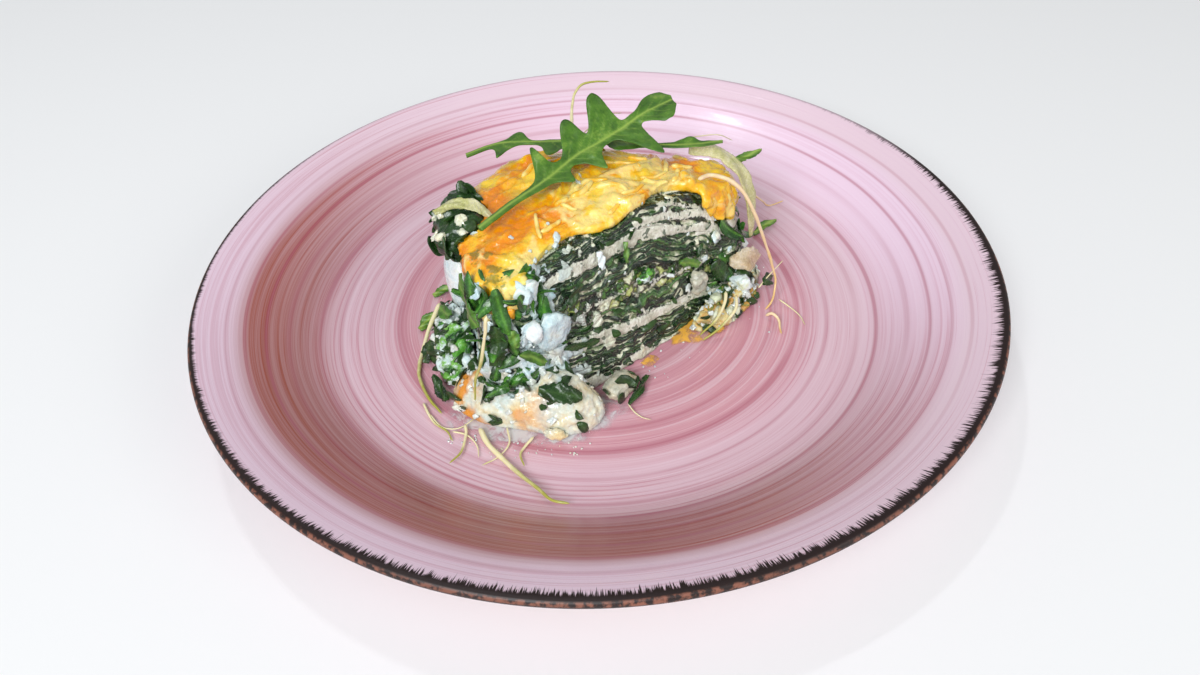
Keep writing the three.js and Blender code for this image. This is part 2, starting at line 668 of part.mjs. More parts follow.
// Rocket leaves: a midrib with lobes, each lobe given by its place, reach, width and bluntness
function lobed(stem, blade, lobes) {
  return (s) => {
    const base = lerp(stem, blade, smooth(s, 0.2, 0.34)) * (1 - 0.55 * smooth(s, 0.93, 1));
    const swell = ([place, reach, width, blunt = 2]) => {
      const away = Math.abs((s - place) / width);
      return reach * Math.exp(-(away ** blunt));
    };
    return lobes.reduce((sum, lobe) => sum + swell(lobe), base);
  };
}

addPiece('rocket_leaf_front', leafGeometry({
  path: [
    [-34, -28, 61.5], [-25, -18, 62.5], [-14, -7, 63.5], [-4, 5, 64.5],
    [3, 10, 65.5], [11, 16, 67], [19, 22, 69], [28, 26, 71],
  ].map((p) => vec(...p)),
  normal: upward,
  left: lobed(1.4, 2.4, [[0.36, 9.5, 0.035], [0.54, 10, 0.042], [0.68, 13.5, 0.06, 3], [0.93, 5.4, 0.065, 3]]),
  right: lobed(1.4, 2.4, [[0.4, 4.8, 0.03], [0.56, 9.4, 0.04], [0.76, 16, 0.036], [0.93, 6, 0.065, 3]]),
  steps: 28,
  across: 4,
  thickness: 0.7,
  sweep: [0.42, 0.06],
  lift: (s, w, reach) => {
    const blade = smooth(s, 0.25, 0.4) * (1 - smooth(s, 0.8, 0.95));
    return (w > 0 ? 0.42 : -0.06) * Math.abs(reach) * blade;
  },
}), COLOURS.rocket, 0.4);

addPiece('rocket_leaf_back', leafGeometry({
  path: [
    [-41, 14, 61], [-31, 19, 61.5], [-15, 19, 61.5], [4, 18, 61.5],
    [20, 14, 61.5], [33, 12, 62], [44, 15, 61],
  ].map((p) => vec(...p)),
  normal: upward,
  left: lobed(1, 1.4, [[0.2, 5, 0.035], [0.52, 4, 0.04], [0.86, 3, 0.05]]),
  right: lobed(1, 1.4, [[0.16, 9, 0.035], [0.36, 8, 0.04], [0.62, 4, 0.05]]),
  steps: 24,
  thickness: 0.7,
  sweep: [0.2, -0.3],
  lift: (s, w, reach) => 0.1 * Math.abs(reach),
}), COLOURS.rocket, 0.45);

// Garnish shoots: long thin stems with a clear fall from the slice to the plate
const SHOOTS = [
  ['shoot_right_loop', 0.75, [
    [34, -3, 58.6], [38, 0, 58], [43, -2.5, 58], [48, -3, 54], [52.5, -3.5, 46], [57, -2, 34], [61, -1.5, 22],
    [63, -3, 14], [61, -8, 9.6], [58.5, -10.5, 8.4]]],
  ['shoot_right_base', 0.6, [[58, -14, 8.6], [60, -14.5, 10], [62, -16, 9], [62, -20, 8.1], [62, -23, 8.1]]],
  ['shoot_double_upper', 0.55, [[44, -12, 19], [43.5, -15, 17], [40, -20.5, 14], [34, -22.5, 8.6]]],
  ['shoot_double_lower', 0.6, [[47.5, -12, 17], [47, -16.5, 15], [42, -21.5, 12], [35, -24.6, 8.1]]],
  ['shoot_back_right', 0.5, [[52, 34, 32], [58, 40, 25], [66, 46, 15], [70, 50, 9.8], [76, 52, 10.4]]],
  ['shoot_top_curl', 0.65, [
    [-5, 23, 62], [-6, 31, 61], [-5, 42, 65], [-2, 45.5, 68], [3, 46.5, 68.5], [8, 48, 67.5]]],
  ['shoot_left_arc', 0.8, [
    [-54.4, -8, 16.5], [-57.5, -14, 12.5], [-59.8, -22, 8.6], [-60.2, -34, 8.2], [-56.5, -44, 8.2],
    [-51, -52.5, 8.2]]],
  ['shoot_left_white', 0.45, [[-57.5, -47, 7.9], [-53, -56, 7.9], [-48.5, -60, 7.9], [-46.5, -64, 7.9]]],
  ['shoot_left_tail', 0.5, [[-43, -58, 9], [-42.5, -62, 8.4], [-43.5, -69, 8.6], [-46.5, -74, 9.4]]],
  ['shoot_front_long', 0.85, [
    [-38.5, -60, 9], [-35.5, -66, 8.5], [-31.5, -71.5, 8.5], [-26, -78.5, 9.2], [-20, -85, 9.8],
    [-15.5, -90.5, 10.8], [-10.5, -92, 11]]],
  ['shoot_front_short', 0.5, [[-21.5, -64.5, 9], [-24, -67.5, 8.1], [-25.5, -70.5, 8.1], [-24, -75.5, 8.3]]],
  ['shoot_front_drop', 0.6, [
    [-31.5, -55.5, 51], [-33, -56, 43], [-35, -56.5, 34], [-37.5, -57, 27], [-38.5, -58.5, 19.5]]],
];

SHOOTS.forEach(([name, radius, points]) => {
  addPiece(name, shootGeometry(points, radius), COLOURS.shoot, 0.4);
});

export default plateOfLasagna;
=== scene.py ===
"""A plate of spinach lasagna: the looks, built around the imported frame, in metres."""

import logging
import math
from dataclasses import dataclass, field, replace
from enum import Enum
from typing import Callable, ClassVar, Iterable, Optional, Sequence, Union

import bmesh
import bpy
import numpy as np
from mathutils import Matrix, Vector
from mathutils.bvhtree import BVHTree


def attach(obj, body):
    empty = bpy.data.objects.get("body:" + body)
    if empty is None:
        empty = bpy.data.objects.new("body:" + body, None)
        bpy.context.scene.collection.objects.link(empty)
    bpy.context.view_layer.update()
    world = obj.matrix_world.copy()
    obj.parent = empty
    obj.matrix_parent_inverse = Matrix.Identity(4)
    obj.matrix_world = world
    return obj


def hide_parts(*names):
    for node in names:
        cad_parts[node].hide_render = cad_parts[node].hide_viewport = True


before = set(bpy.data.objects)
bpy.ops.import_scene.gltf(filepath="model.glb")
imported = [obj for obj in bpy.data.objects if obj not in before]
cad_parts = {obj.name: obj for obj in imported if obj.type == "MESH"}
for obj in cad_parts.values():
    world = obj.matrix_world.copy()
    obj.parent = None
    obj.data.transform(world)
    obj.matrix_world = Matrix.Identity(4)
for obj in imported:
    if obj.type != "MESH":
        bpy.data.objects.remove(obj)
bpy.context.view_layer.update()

log = logging.getLogger("lasagna")

MM = 0.001
WELL_TOP = 7.0
CUT_HEADING = math.radians(39.7)
TOP_MIDDLE = np.array([-4, -4])

Array = np.ndarray
Number = Union[float, "Wire"]
Colour = tuple[float, float, float]
Stops = tuple[tuple[float, Colour], ...]
Route = Sequence[Sequence[float]]
Places = tuple[Array, Array]
Profile = Callable[[Array], Array]


def srgb(red: int, green: int, blue: int) -> Colour:
    """A display colour, 0 to 255, as the linear colour that a shader takes."""
    return tuple(((c / 255 + 0.055) / 1.055) ** 2.4 if c > 10 else c / 3294 for c in (red, green, blue))


# Shader maths


class Wire:
    """One output socket of a material's nodes; arithmetic on it adds Math nodes."""

    def __init__(self, graph: "Graph", socket: bpy.types.NodeSocket) -> None:
        """Keeps the socket and the graph that it belongs to."""
        self.graph = graph
        self.socket = socket

    def _math(self, operation: str, *terms: Number, clamp: bool = False) -> "Wire":
        """A Math node of that operation on the terms."""
        settings = {"operation": operation, "use_clamp": clamp}
        return self.graph.add("ShaderNodeMath", settings, dict(enumerate(terms)))

    def __add__(self, other: Number) -> "Wire":
        """Sum."""
        return self._math("ADD", self, other)

    def __radd__(self, other: Number) -> "Wire":
        """Sum, reflected."""
        return self._math("ADD", other, self)

    def __sub__(self, other: Number) -> "Wire":
        """Difference."""
        return self._math("SUBTRACT", self, other)

    def __rsub__(self, other: Number) -> "Wire":
        """Difference, reflected."""
        return self._math("SUBTRACT", other, self)

    def __mul__(self, other: Number) -> "Wire":
        """Product."""
        return self._math("MULTIPLY", self, other)

    def __rmul__(self, other: Number) -> "Wire":
        """Product, reflected."""
        return self._math("MULTIPLY", other, self)

    def __truediv__(self, other: Number) -> "Wire":
        """Quotient."""
        return self._math("DIVIDE", self, other)

    def __rtruediv__(self, other: Number) -> "Wire":
        """Quotient, reflected."""
        return self._math("DIVIDE", other, self)

    def __pow__(self, other: Number) -> "Wire":
        """Power."""
        return self._math("POWER", self, other)

    def limited(self) -> "Wire":
        """The value held between 0 and 1."""
        return self._math("ADD", self, 0.0, clamp=True)

    def step(self, low: float, high: float) -> "Wire":
        """A smooth step from 0 at low to 1 at high.

        Args:
            low: Value where the step starts.
            high: Value where it ends; it may be below low.

        Returns:
            The stepped value.
        """
        if low > high:
            return 1.0 - self.step(high, low)
        sockets = {"Value": self, "From Min": low, "From Max": high}
        return self.graph.add("ShaderNodeMapRange", {"interpolation_type": "SMOOTHSTEP"}, sockets)

    def fraction(self) -> "Wire":
        """The part above the whole number."""
        return self._math("FRACT", self)

    def whole(self) -> "Wire":
        """The whole number below."""
        return self._math("FLOOR", self)

    def size(self) -> "Wire":
        """The value without its sign."""
        return self._math("ABSOLUTE", self)

    def highest(self, other: Number) -> "Wire":
        """The larger of two values."""
        return self._math("MAXIMUM", self, other)


class Graph:
    """The node tree of one material, with a Principled shader on its output."""

    def __init__(self, name: str) -> None:
        """Starts the tree with the shader, the output and the place in millimetres.

        Args:
            name: Name of the material.
        """
        self.material = bpy.data.materials.new(name)
        self.material.use_nodes = True
        self.tree = self.material.node_tree
        self.shader = self.tree.nodes["Principled BSDF"]
        self.place = self.vector("SCALE", self.add("ShaderNodeTexCoord", out="Object"), Scale=1 / MM)

    def add(self, kind: str, settings: Optional[dict] = None, sockets: Optional[dict] = None,
            out: Union[int, str] = 0) -> Wire:
        """Adds a node.

        Args:
            kind: The node's type.
            settings: Properties set first; stops holds a ramp's positions and colours.
            sockets: Values or wires by socket name or index.
            out: The output that the returned wire stands for.

        Returns:
            The chosen output as a wire.
        """
        node = self.tree.nodes.new(kind)
        for key, value in (settings or {}).items():
            if key == "stops":
                self._stops(node.color_ramp, value)
            else:
                setattr(node, key, value)
        for key, value in (sockets or {}).items():
            self._plug(node.inputs[key], value)
        return Wire(self, node.outputs[out])

    @staticmethod
    def _stops(ramp: bpy.types.ColorRamp, stops: Stops) -> None:
        """Fills a colour ramp.

        Args:
            ramp: The ramp.
            stops: Its positions and colours.
        """
        while len(ramp.elements) < len(stops):
            ramp.elements.new(0.5)
        for element, (position, colour) in zip(ramp.elements, stops):
            element.position = position
            element.color = (*colour, 1.0)

    def _plug(self, socket: bpy.types.NodeSocket, value: object) -> None:
        """Links a wire to a socket, or sets its value.

        Args:
            socket: The socket.
            value: The wire, number or colour.
        """
        if isinstance(value, Wire):
            self.tree.links.new(value.socket, socket)
        elif isinstance(value, tuple) and socket.type == "RGBA":
            socket.default_value = (*value, 1.0)
        else:
            socket.default_value = value

    def set(self, **sockets: object) -> None:
        """Sets or links the shader's own sockets; an underscore stands for a space."""
        for key, value in sockets.items():
            self._plug(self.shader.inputs[key.replace("_", " ")], value)

    def skin(self, colour: Wire, roughness: Number, coat: Number = 0.0, coat_roughness: float = 0.03) -> None:
        """Sets the surface's colour, its roughness and its wet coat."""
        self.set(Base_Color=colour, Roughness=roughness, Coat_Weight=coat, Coat_Roughness=coat_roughness)

    def flesh(self, weight: float, radius: Colour, reach: float) -> None:
        """Sets how light runs inside, its reach in millimetres."""
        self.set(Subsurface_Weight=weight, Subsurface_Radius=radius, Subsurface_Scale=reach * MM)

    def vector(self, operation: str, *terms: object, out: Union[int, str] = 0, **named: object) -> Wire:
        """A Vector Math node of that operation."""
        sockets = {**dict(enumerate(terms)), **named}
        return self.add("ShaderNodeVectorMath", {"operation": operation}, sockets, out)

    def shifted(self, x: float, y: float, z: float) -> Wire:
        """The place moved by so many millimetres, for a pattern of its own."""
        return self.vector("ADD", self.place, (x, y, z))

    def axes(self, vector: Wire) -> list[Wire]:
        """The three components of a vector."""
        outputs = self.add("ShaderNodeSeparateXYZ", None, {0: vector}).socket.node.outputs
        return [Wire(self, output) for output in outputs]

    def joined(self, x: Number, y: Number, z: Number) -> Wire:
        """A vector from three values."""
        return self.add("ShaderNodeCombineXYZ", None, {0: x, 1: y, 2: z})

    def noise(self, place: Wire, size: float, detail: float = 3.0, rough: float = 0.55,
              warp: float = 0.0) -> Wire:
        """Smooth noise, 0 to 1.

        Args:
            place: The point in millimetres.
            size: Width of its largest features, in millimetres.
            detail: Octaves added below that size.
            rough: Strength of the finer octaves.
            warp: Distortion of the pattern.

        Returns:
            The noise value.
        """
        return self.add("ShaderNodeTexNoise", None, {
            "Vector": place, "Scale": 1 / size, "Detail": detail, "Roughness": rough, "Distortion": warp})

    def cells(self, place: Wire, size: float, feature: str = "F1", out: str = "Distance") -> Wire:
        """Distance within rounded cells of about that size in millimetres."""
        sockets = {"Vector": place, "Scale": 1 / size}
        return self.add("ShaderNodeTexVoronoi", {"feature": feature}, sockets, out)

    def mask(self, name: str) -> Wire:
        """A value painted on the mesh's points."""
        return self.add("ShaderNodeAttribute", {"attribute_name": name}, out="Fac")

    def blend(self, factor: Number, low: object, high: object) -> Wire:
        """A colour between two, by a Mix node."""
        settings = {"data_type": "RGBA", "clamp_factor": True}
        return self.add("ShaderNodeMix", settings, {"Factor": factor, 6: low, 7: high}, 2)

    def ramp(self, value: Number, *stops: tuple[float, Colour]) -> Wire:
        """A colour by value through a ramp."""
        return self.add("ShaderNodeValToRGB", {"stops": stops}, {"Fac": value}, "Color")

    def bump(self, height: Wire, depth: float, strength: float = 1.0) -> None:
        """Feeds a height, whose full swing is depth millimetres, to the shader's normal."""
        sockets = {"Height": height, "Distance": depth * MM, "Strength": strength}
        self.set(Normal=self.add("ShaderNodeBump", None, sockets))


# Finishes


@dataclass(frozen=True)
class Finish:
    """A look of the food or the plate, for one slot of the record's materials."""

    slot: str = ""

    def dress(self, g: Graph) -> None:
        """Wires the look into a material's graph; each finish has its own."""
        raise NotImplementedError

    def material(self, name: str) -> bpy.types.Material:
        """The look as a material.

        Args:
            name: Name of the material.

        Returns:
            The new material.
        """
        g = Graph(name)
        self.dress(g)
        return g.material


@dataclass(frozen=True)
class Glaze(Finish):
    """Hand-banded pink glaze: concentric brush strokes, painted brown shade and painted highlights on the
    wall and lip, and a dark rim with dragged hairs.
    """

    slot: str = "glazed_stoneware"
    pale: Colour = srgb(230, 204, 214)
    rose: Colour = srgb(198, 136, 150)
    deep: Colour = srgb(172, 88, 108)
    bands: Stops = (
        (0.0, srgb(210, 154, 165)), (0.5, srgb(212, 156, 167)), (0.54, srgb(212, 162, 174)),
        (0.58, srgb(219, 182, 194)), (0.69, srgb(221, 186, 198)), (0.73, srgb(219, 180, 193)),
        (0.86, srgb(222, 186, 200)), (0.9, srgb(228, 200, 213)))
    # Colour of the painted brown shade on the walls that face away from the window lamp.
    painted_wall_shade: Colour = srgb(156, 64, 24)
    # sheen is a painted highlight colour, for the lit walls and the lip.
    sheen: Colour = srgb(240, 214, 234)
    rim: Colour = srgb(28, 7, 5)
    copper: Colour = srgb(150, 92, 72)
    rings: tuple[tuple[float, float, float], ...] = (
        (17.0, 0.6, 0.5), (38.0, 0.8, 0.5), (54.5, 1.2, 0.6), (62.0, 1.5, 0.6), (70.5, 1.2, 0.95),
        (80.7, 0.8, 0.5), (91.0, 0.9, 0.6), (97.0, 0.7, 1.25), (106.0, 0.8, 0.6), (112.5, 0.45, 1.1),
        (118.5, 0.5, 0.7), (124.0, 0.5, 0.6))
    band_edge: float = 131.8
    worn_edge: float = 148.25
    reach: float = 135.0

    def dress(self, g: Graph) -> None:
        """Wires the glaze: base bands, strokes, painted brown shade on the front-left walls, painted
        highlights on the back-right walls and the front-left lip, thin rings, then the dark rim.

        Args:
            g: Its graph.
        """
        x, y, z = g.axes(g.place)
        flat = g.joined(x, y, 0.0)
        radius = g.vector("LENGTH", flat, out="Value") + (g.noise(flat, 70.0, 1.0) - 0.5) * 1.2
        hx, hy, _ = g.axes(g.vector("NORMALIZE", flat))
        fine = g.noise(g.joined(radius * 1.3, hx * 0.6, hy * 0.6), 1.0, 4.0, 0.75)
        broad = g.noise(g.joined(radius * 0.16, hx * 0.35, hy * 0.35), 1.0, 3.0, 0.55)
        stroke = (fine * 0.6 + broad * 0.4).step(0.38, 0.66)
        colour = g.ramp(radius / self.reach, *self.bands)
        # toward is largest on the front-left side of the plate, where the window lamp stands.
        toward = hx * -0.74 - hy * 0.67
        wall = radius.step(88.0, 108.0) * (1.0 - 0.92 * radius.step(117.0, 125.0))
        tones = (
            (stroke.step(0.45, 0.0) * 0.48, self.pale), (stroke.step(0.5, 0.95) * 0.78, self.rose),
            # Painted shade: brown on the front-left walls, which face away from the lamp.
            (wall * (toward * 0.5 + 0.5).step(0.25, 0.95) * (0.64 + 0.36 * stroke), self.painted_wall_shade),
            # Painted highlights: the back-right walls, which face the lamp, and the front-left lip are
            # lightened.
            (wall * (toward * -1.0).step(0.1, 0.9) * 0.75, self.sheen),
            (radius.step(116.0, 125.0) * toward.step(0.0, 0.8) * 0.5, self.sheen))
        for share, tone in tones:
            colour = g.blend(share, colour, tone)
        for ring, width, strength in self.rings:
            fade = g.noise(g.joined(hx * 0.9, hy * 0.9, ring), 1.0, 1.0).step(0.3, 0.54)
            offset = ((radius - ring) / width).size()
            line = (1.0 / (1.0 + offset ** 4)) * (0.3 + 0.7 * fade)
            colour = g.blend(line * (0.25 + 0.55 * fine) * strength, colour, self.deep)
        hairs = g.noise(g.joined(hx * 290.0, hy * 290.0, radius * 0.1), 1.0, 2.0, 0.8)
        sweep = g.noise(g.joined(hx * 2.2, hy * 2.2, 4.0), 1.0, 2.0)
        near = ((hx * 0.55 - hy * 0.83) * 0.5 + 0.5).step(0.1, 0.95)
        drag = (hairs - 0.42).highest(0.0) * (1.5 + near * 10.0)
        reach = self.band_edge + 1.9 - near * 0.9 - drag - sweep * 1.5
        dark = ((radius - reach) / 0.8).limited()
        worn = (radius + z * 0.5 - self.worn_edge).step(-0.2, 0.3) * g.noise(g.place, 2.2).step(0.42, 0.6)
        edge = g.blend(worn * 0.75, self.rim, self.copper)
        colour = g.blend(dark * (1.0 - hy.step(0.3, 0.8) * 0.72), colour, edge)
        coat = 0.35 * (1.0 - dark) * (1.0 - 0.8 * wall)
        g.skin(colour, 0.14 + 0.16 * fine + 0.25 * dark, coat, 0.06)
        g.bump(fine * 0.6 + broad * 0.5, 0.16)


@dataclass(frozen=True)
class Cheddar(Finish):
    """Melted cheddar with pale, half-melted shreds and an oily sheen."""

    slot: str = "melted_cheddar"
    deep: Colour = srgb(240, 142, 4)
    warm: Colour = srgb(252, 180, 14)
    pale: Colour = srgb(252, 208, 60)
    cream: Colour = srgb(250, 228, 146)
    leaf: Colour = srgb(96, 112, 34)

    def dress(self, g: Graph) -> None:
        """Wires the cheese: patches of orange, cream where it melted, green at the front corner.

        Args:
            g: Its graph.
        """
        melt = g.mask("melt")
        patch = g.noise(g.place, 13.0, 3.0, 0.5, 0.6)
        spot = g.noise(g.place, 2.2, 3.0, 0.6)
        tone = patch * 0.8 + spot * 0.2 + melt * 0.08
        colour = g.ramp(tone, (0.42, self.deep), (0.5, self.warm), (0.6, self.pale))
        veil = g.noise(g.shifted(60.0, 10.0, 30.0), 8.0, 3.0, 0.6, 0.8)
        melted = g.mask("shred") * 0.6 + (veil - 0.5) * 3.0 + (spot - 0.5) * 0.5 + (melt - 0.45) * 0.9
        colour = g.blend(melted.step(0.1, 0.55) * 0.72, colour, self.cream)
        colour = g.blend(g.mask("orange") * 0.6, colour, self.warm)
        green = (g.mask("corner") * g.noise(g.place, 3.4, 3.0)).step(0.44, 0.56)
        g.skin(g.blend(green * 0.7, colour, self.leaf), 0.12 + 0.28 * spot, 0.6, 0.07)
        g.flesh(0.3, (0.9, 0.5, 0.15), 2.5)
        g.bump(spot + patch, 0.7, 0.7)


@dataclass(frozen=True)
class Shred(Finish):
    """A single shred of cheese, paler at its ends."""

    slot: str = "melted_cheddar"
    body: Colour = srgb(248, 220, 132)
    tint: Colour = srgb(244, 184, 50)

    def dress(self, g: Graph) -> None:
        """Wires the shred.

        Args:
            g: Its graph.
        """
        g.skin(g.blend(g.noise(g.place, 7.0, 2.0).step(0.45, 0.6), self.body, self.tint), 0.3, 0.2)
        g.flesh(0.3, (0.9, 0.6, 0.25), 2.0)
        g.bump(g.noise(g.place, 1.2, 3.0), 0.3, 0.6)


@dataclass(frozen=True)
class CutFood(Finish):
    """The slice at its cut: wet leaf sheets, pasta, chopped vegetables and crumbs of cheese."""

    dark: Colour = srgb(6, 28, 16)
    leaf: Colour = srgb(24, 66, 30)
    bright: Colour = srgb(84, 138, 62)
    wet: Colour = srgb(54, 94, 50)
    sauce: Colour = srgb(142, 160, 116)
    painted_glint: Colour = srgb(150, 184, 134)
    shade: Colour = srgb(176, 178, 156)
    pasta: Colour = srgb(216, 217, 198)
    pale: Colour = srgb(240, 242, 228)
    cream: Colour = srgb(232, 234, 206)
    cool: Colour = srgb(198, 216, 216)
    bits: Stops = (
        (0.0, srgb(8, 32, 16)), (0.26, srgb(28, 66, 28)), (0.44, srgb(72, 118, 44)),
        (0.58, srgb(150, 172, 78)), (0.7, srgb(192, 200, 124)), (0.84, srgb(230, 232, 204)),
        (1.0, srgb(200, 212, 186)))
    bit_size: float = 4.2

    def _leaves(self, g: Graph, fine: Wire, broad: Wire) -> tuple[Wire, Wire]:
        """Dark leaf sheets on edge with broken cream lines between them and thin painted highlight lines
        along them.

        Args:
            g: Its graph.
            fine: Fine noise.
            broad: Broad noise.

        Returns:
            Their colour and how far each point stands out.
        """
        sheets = g.mask("stack") + (broad - 0.5) * 0.7 + (fine - 0.5) * 0.14
        ridge = 1.0 - (2.0 * sheets.fraction() - 1.0).size()
        which = g.noise(g.joined(sheets.whole() * 7.3, broad * 3.0, 0.0), 1.0, 1.0)
        tone = which * 0.8 + (fine - 0.5) * 0.3
        colour = g.ramp(tone, (0.3, self.dark), (0.44, self.leaf), (0.58, self.bright))
        colour = g.blend(ridge.step(0.95, 0.5) * 0.6, colour, self.dark)
        patch = g.noise(g.shifted(20.0, 5.0, 9.0), 6.0, 2.0)
        between = g.ramp(patch + (fine - 0.5) * 0.5, (0.38, self.wet), (0.5, self.sauce), (0.62, self.cream))
        gap = (ridge - (g.noise(g.place, 7.0, 2.0) - 0.4) * 2.2).step(0.14, -0.02)
        thin = (2.0 * (sheets * 3.0).fraction() - 1.0).size().step(0.74, 0.96)
        # Painted highlights: thin pale-green glint lines along the sheets.
        colour = g.blend(thin * g.noise(g.place, 5.0, 2.0).step(0.44, 0.62) * 0.6, colour, self.painted_glint)
        return g.blend(gap * 0.95, colour, between), ridge * 0.75 + thin * 0.25

    def _chopped(self, g: Graph, fine: Wire) -> tuple[Wire, Wire]:
        """Chopped vegetables: flattened bits, a tone to each, with painted shade in the sunken gaps between
        them.

        Args:
            g: Its graph.
            fine: Fine noise.

        Returns:
            Their colour and how far each point stands out.
        """
        warp = g.add("ShaderNodeTexNoise", None, {"Vector": g.place, "Scale": 0.4, "Detail": 2.0}, "Color")
        bent = g.vector("MULTIPLY_ADD", warp, (3.5, 3.5, 3.5), g.vector("MULTIPLY", g.place, (1.0, 1.0, 1.6)))
        value, _, _ = g.axes(g.cells(bent, self.bit_size, "F1", "Color"))
        edge = g.cells(bent, self.bit_size, "DISTANCE_TO_EDGE").step(0.02, 0.14)
        colour = g.ramp(value + (fine - 0.5) * 0.5, *self.bits)
        # Painted shade: the dark colour fills the sunken gaps between the bits.
        return g.blend((1.0 - edge) * 0.75, colour, self.dark), edge

    def dress(self, g: Graph) -> None:
        """Wires the cut: leaves, then chopped bits, pasta and cheese where their masks say so.

        Args:
            g: Its graph.
        """
        fine = g.noise(g.place, 1.2, 3.0, 0.65)
        broad = g.noise(g.place, 4.5, 3.0, 0.6)
        colour, ridge = self._leaves(g, fine, broad)
        bits, edge = self._chopped(g, fine)
        filled = (g.mask("chop") + (fine - 0.5) * 1.4).step(0.35, 0.6)
        colour = g.blend(filled, colour, bits)
        dough = g.ramp(broad * 0.55 + fine * 0.45, (0.38, self.shade), (0.5, self.pasta), (0.62, self.pale))
        sheet = (g.mask("band") + (fine - 0.5) * 2.0).step(-0.15, 0.2)
        colour = g.blend(sheet, colour, dough)
        scrap = g.noise(g.place, 3.0, 2.0).step(0.64, 0.67)
        colour = g.blend(scrap * sheet * 0.8, colour, self.leaf)
        cheese = (g.mask("curd") + (fine - 0.5) * 1.6).step(0.45, 0.65)
        crumb = g.noise(g.place, 1.3, 2.0, 0.6).step(0.67, 0.72) * (1.0 - sheet)
        white = g.blend(g.mask("cool"), self.cream, self.cool)
        colour = g.blend(cheese.highest(crumb * 0.8), colour, white)
        g.skin(colour, 0.08 + 0.26 * fine + 0.2 * sheet, 0.7, 0.06)
        g.flesh(0.06, (0.6, 0.6, 0.4), 1.0)
        g.bump(fine + (ridge * (1.0 - filled) + edge * filled) * (1.0 - sheet) * 0.8 + cheese * 0.5, 0.8)


@dataclass(frozen=True)
class Pasta(Finish):
    """A free edge of cooked pasta: pale, thin and slightly translucent."""

    slot: str = "pasta"
    body: Colour = srgb(214, 212, 150)
    shade: Colour = srgb(184, 186, 104)
    grain: Colour = srgb(234, 230, 190)

    def dress(self, g: Graph) -> None:
        """Wires the pasta.

        Args:
            g: Its graph.
        """
        tone = g.noise(g.place, 6.0, 4.0, 0.6)
        pit = g.noise(g.place, 0.9, 3.0, 0.7)
        colour = g.ramp(tone * 0.7 + pit * 0.3, (0.36, self.shade), (0.5, self.body), (0.64, self.grain))
        g.skin(colour, 0.25 + 0.25 * pit, 0.3, 0.15)
        g.set(Alpha=0.3 + 0.7 * pit)
        g.flesh(0.4, (0.9, 0.9, 0.5), 2.0)
        g.bump(pit + tone * 0.5, 0.35, 0.8)


@dataclass(frozen=True)
class ChoppedFilling(Finish):
    """Spilled filling: chopped leaf, vegetables and cheese, a tone to each bit, with painted shade in the
    sunken gaps between bits.
    """

    slot: str = "filling"
    stops: Stops = (
        (0.0, srgb(8, 38, 18)), (0.2, srgb(28, 76, 26)), (0.34, srgb(82, 160, 46)), (0.5, srgb(128, 190, 80)),
        (0.58, srgb(206, 228, 220)), (0.82, srgb(230, 242, 240)), (1.0, srgb(192, 220, 222)))
    # Colour of the painted shade in the sunken gaps between bits.
    gap: Colour = srgb(20, 32, 12)

    def dress(self, g: Graph) -> None:
        """Wires the filling.

        Args:
            g: Its graph.
        """
        tone = g.noise(g.place, 1.6, 4.0, 0.65)
        colour = g.ramp((g.mask("tint") + (tone - 0.5) * 0.45).limited(), *self.stops)
        # Painted shade in the gaps between bits, where the skin sinks.
        colour = g.blend(g.mask("edge").step(0.35, 0.0) * 0.5, colour, self.gap)
        g.skin(colour, 0.18 + 0.3 * tone, 0.35, 0.12)
        g.flesh(0.15, (0.6, 0.7, 0.4), 1.5)
        g.bump(tone, 0.6, 0.9)


@dataclass(frozen=True)
class SoftCheese(Finish):
    """Fresh soft cheese and its whey: cool white, crumbly, wet."""

    slot: str = "soft_cheese"
    white: Colour = srgb(226, 236, 232)
    cool: Colour = srgb(188, 212, 212)
    cream: Colour = srgb(232, 222, 184)
    amber: Colour = srgb(228, 146, 20)
    amber_share: float = 0.0

    def dress(self, g: Graph) -> None:
        """Wires the soft cheese, stained amber on its left where it has a share of that.

        Args:
            g: Its graph.
        """
        broad = g.noise(g.place, 8.0, 3.0, 0.55, 0.5)
        grain = g.noise(g.place, 1.3, 4.0, 0.7)
        colour = g.ramp(broad * 0.8 + grain * 0.2, (0.36, self.cool), (0.5, self.white), (0.66, self.cream))
        if self.amber_share > 0:
            stain = g.noise(g.shifted(31.0, 7.0, 3.0), 9.0, 2.0, 0.5, 0.6)
            left = g.axes(g.place)[0].step(-12.0, -34.0) * 0.85 + 0.1
            stain = stain.step(0.6 - self.amber_share, 0.8 - self.amber_share)
            colour = g.blend(stain * left, colour, self.amber)
        g.skin(colour, 0.12 + 0.3 * grain, 0.7, 0.05)
        g.flesh(0.35, (0.8, 0.8, 0.7), 2.5)
        g.bump(grain + g.cells(g.place, 3.2) * 0.5, 0.5, 0.7)


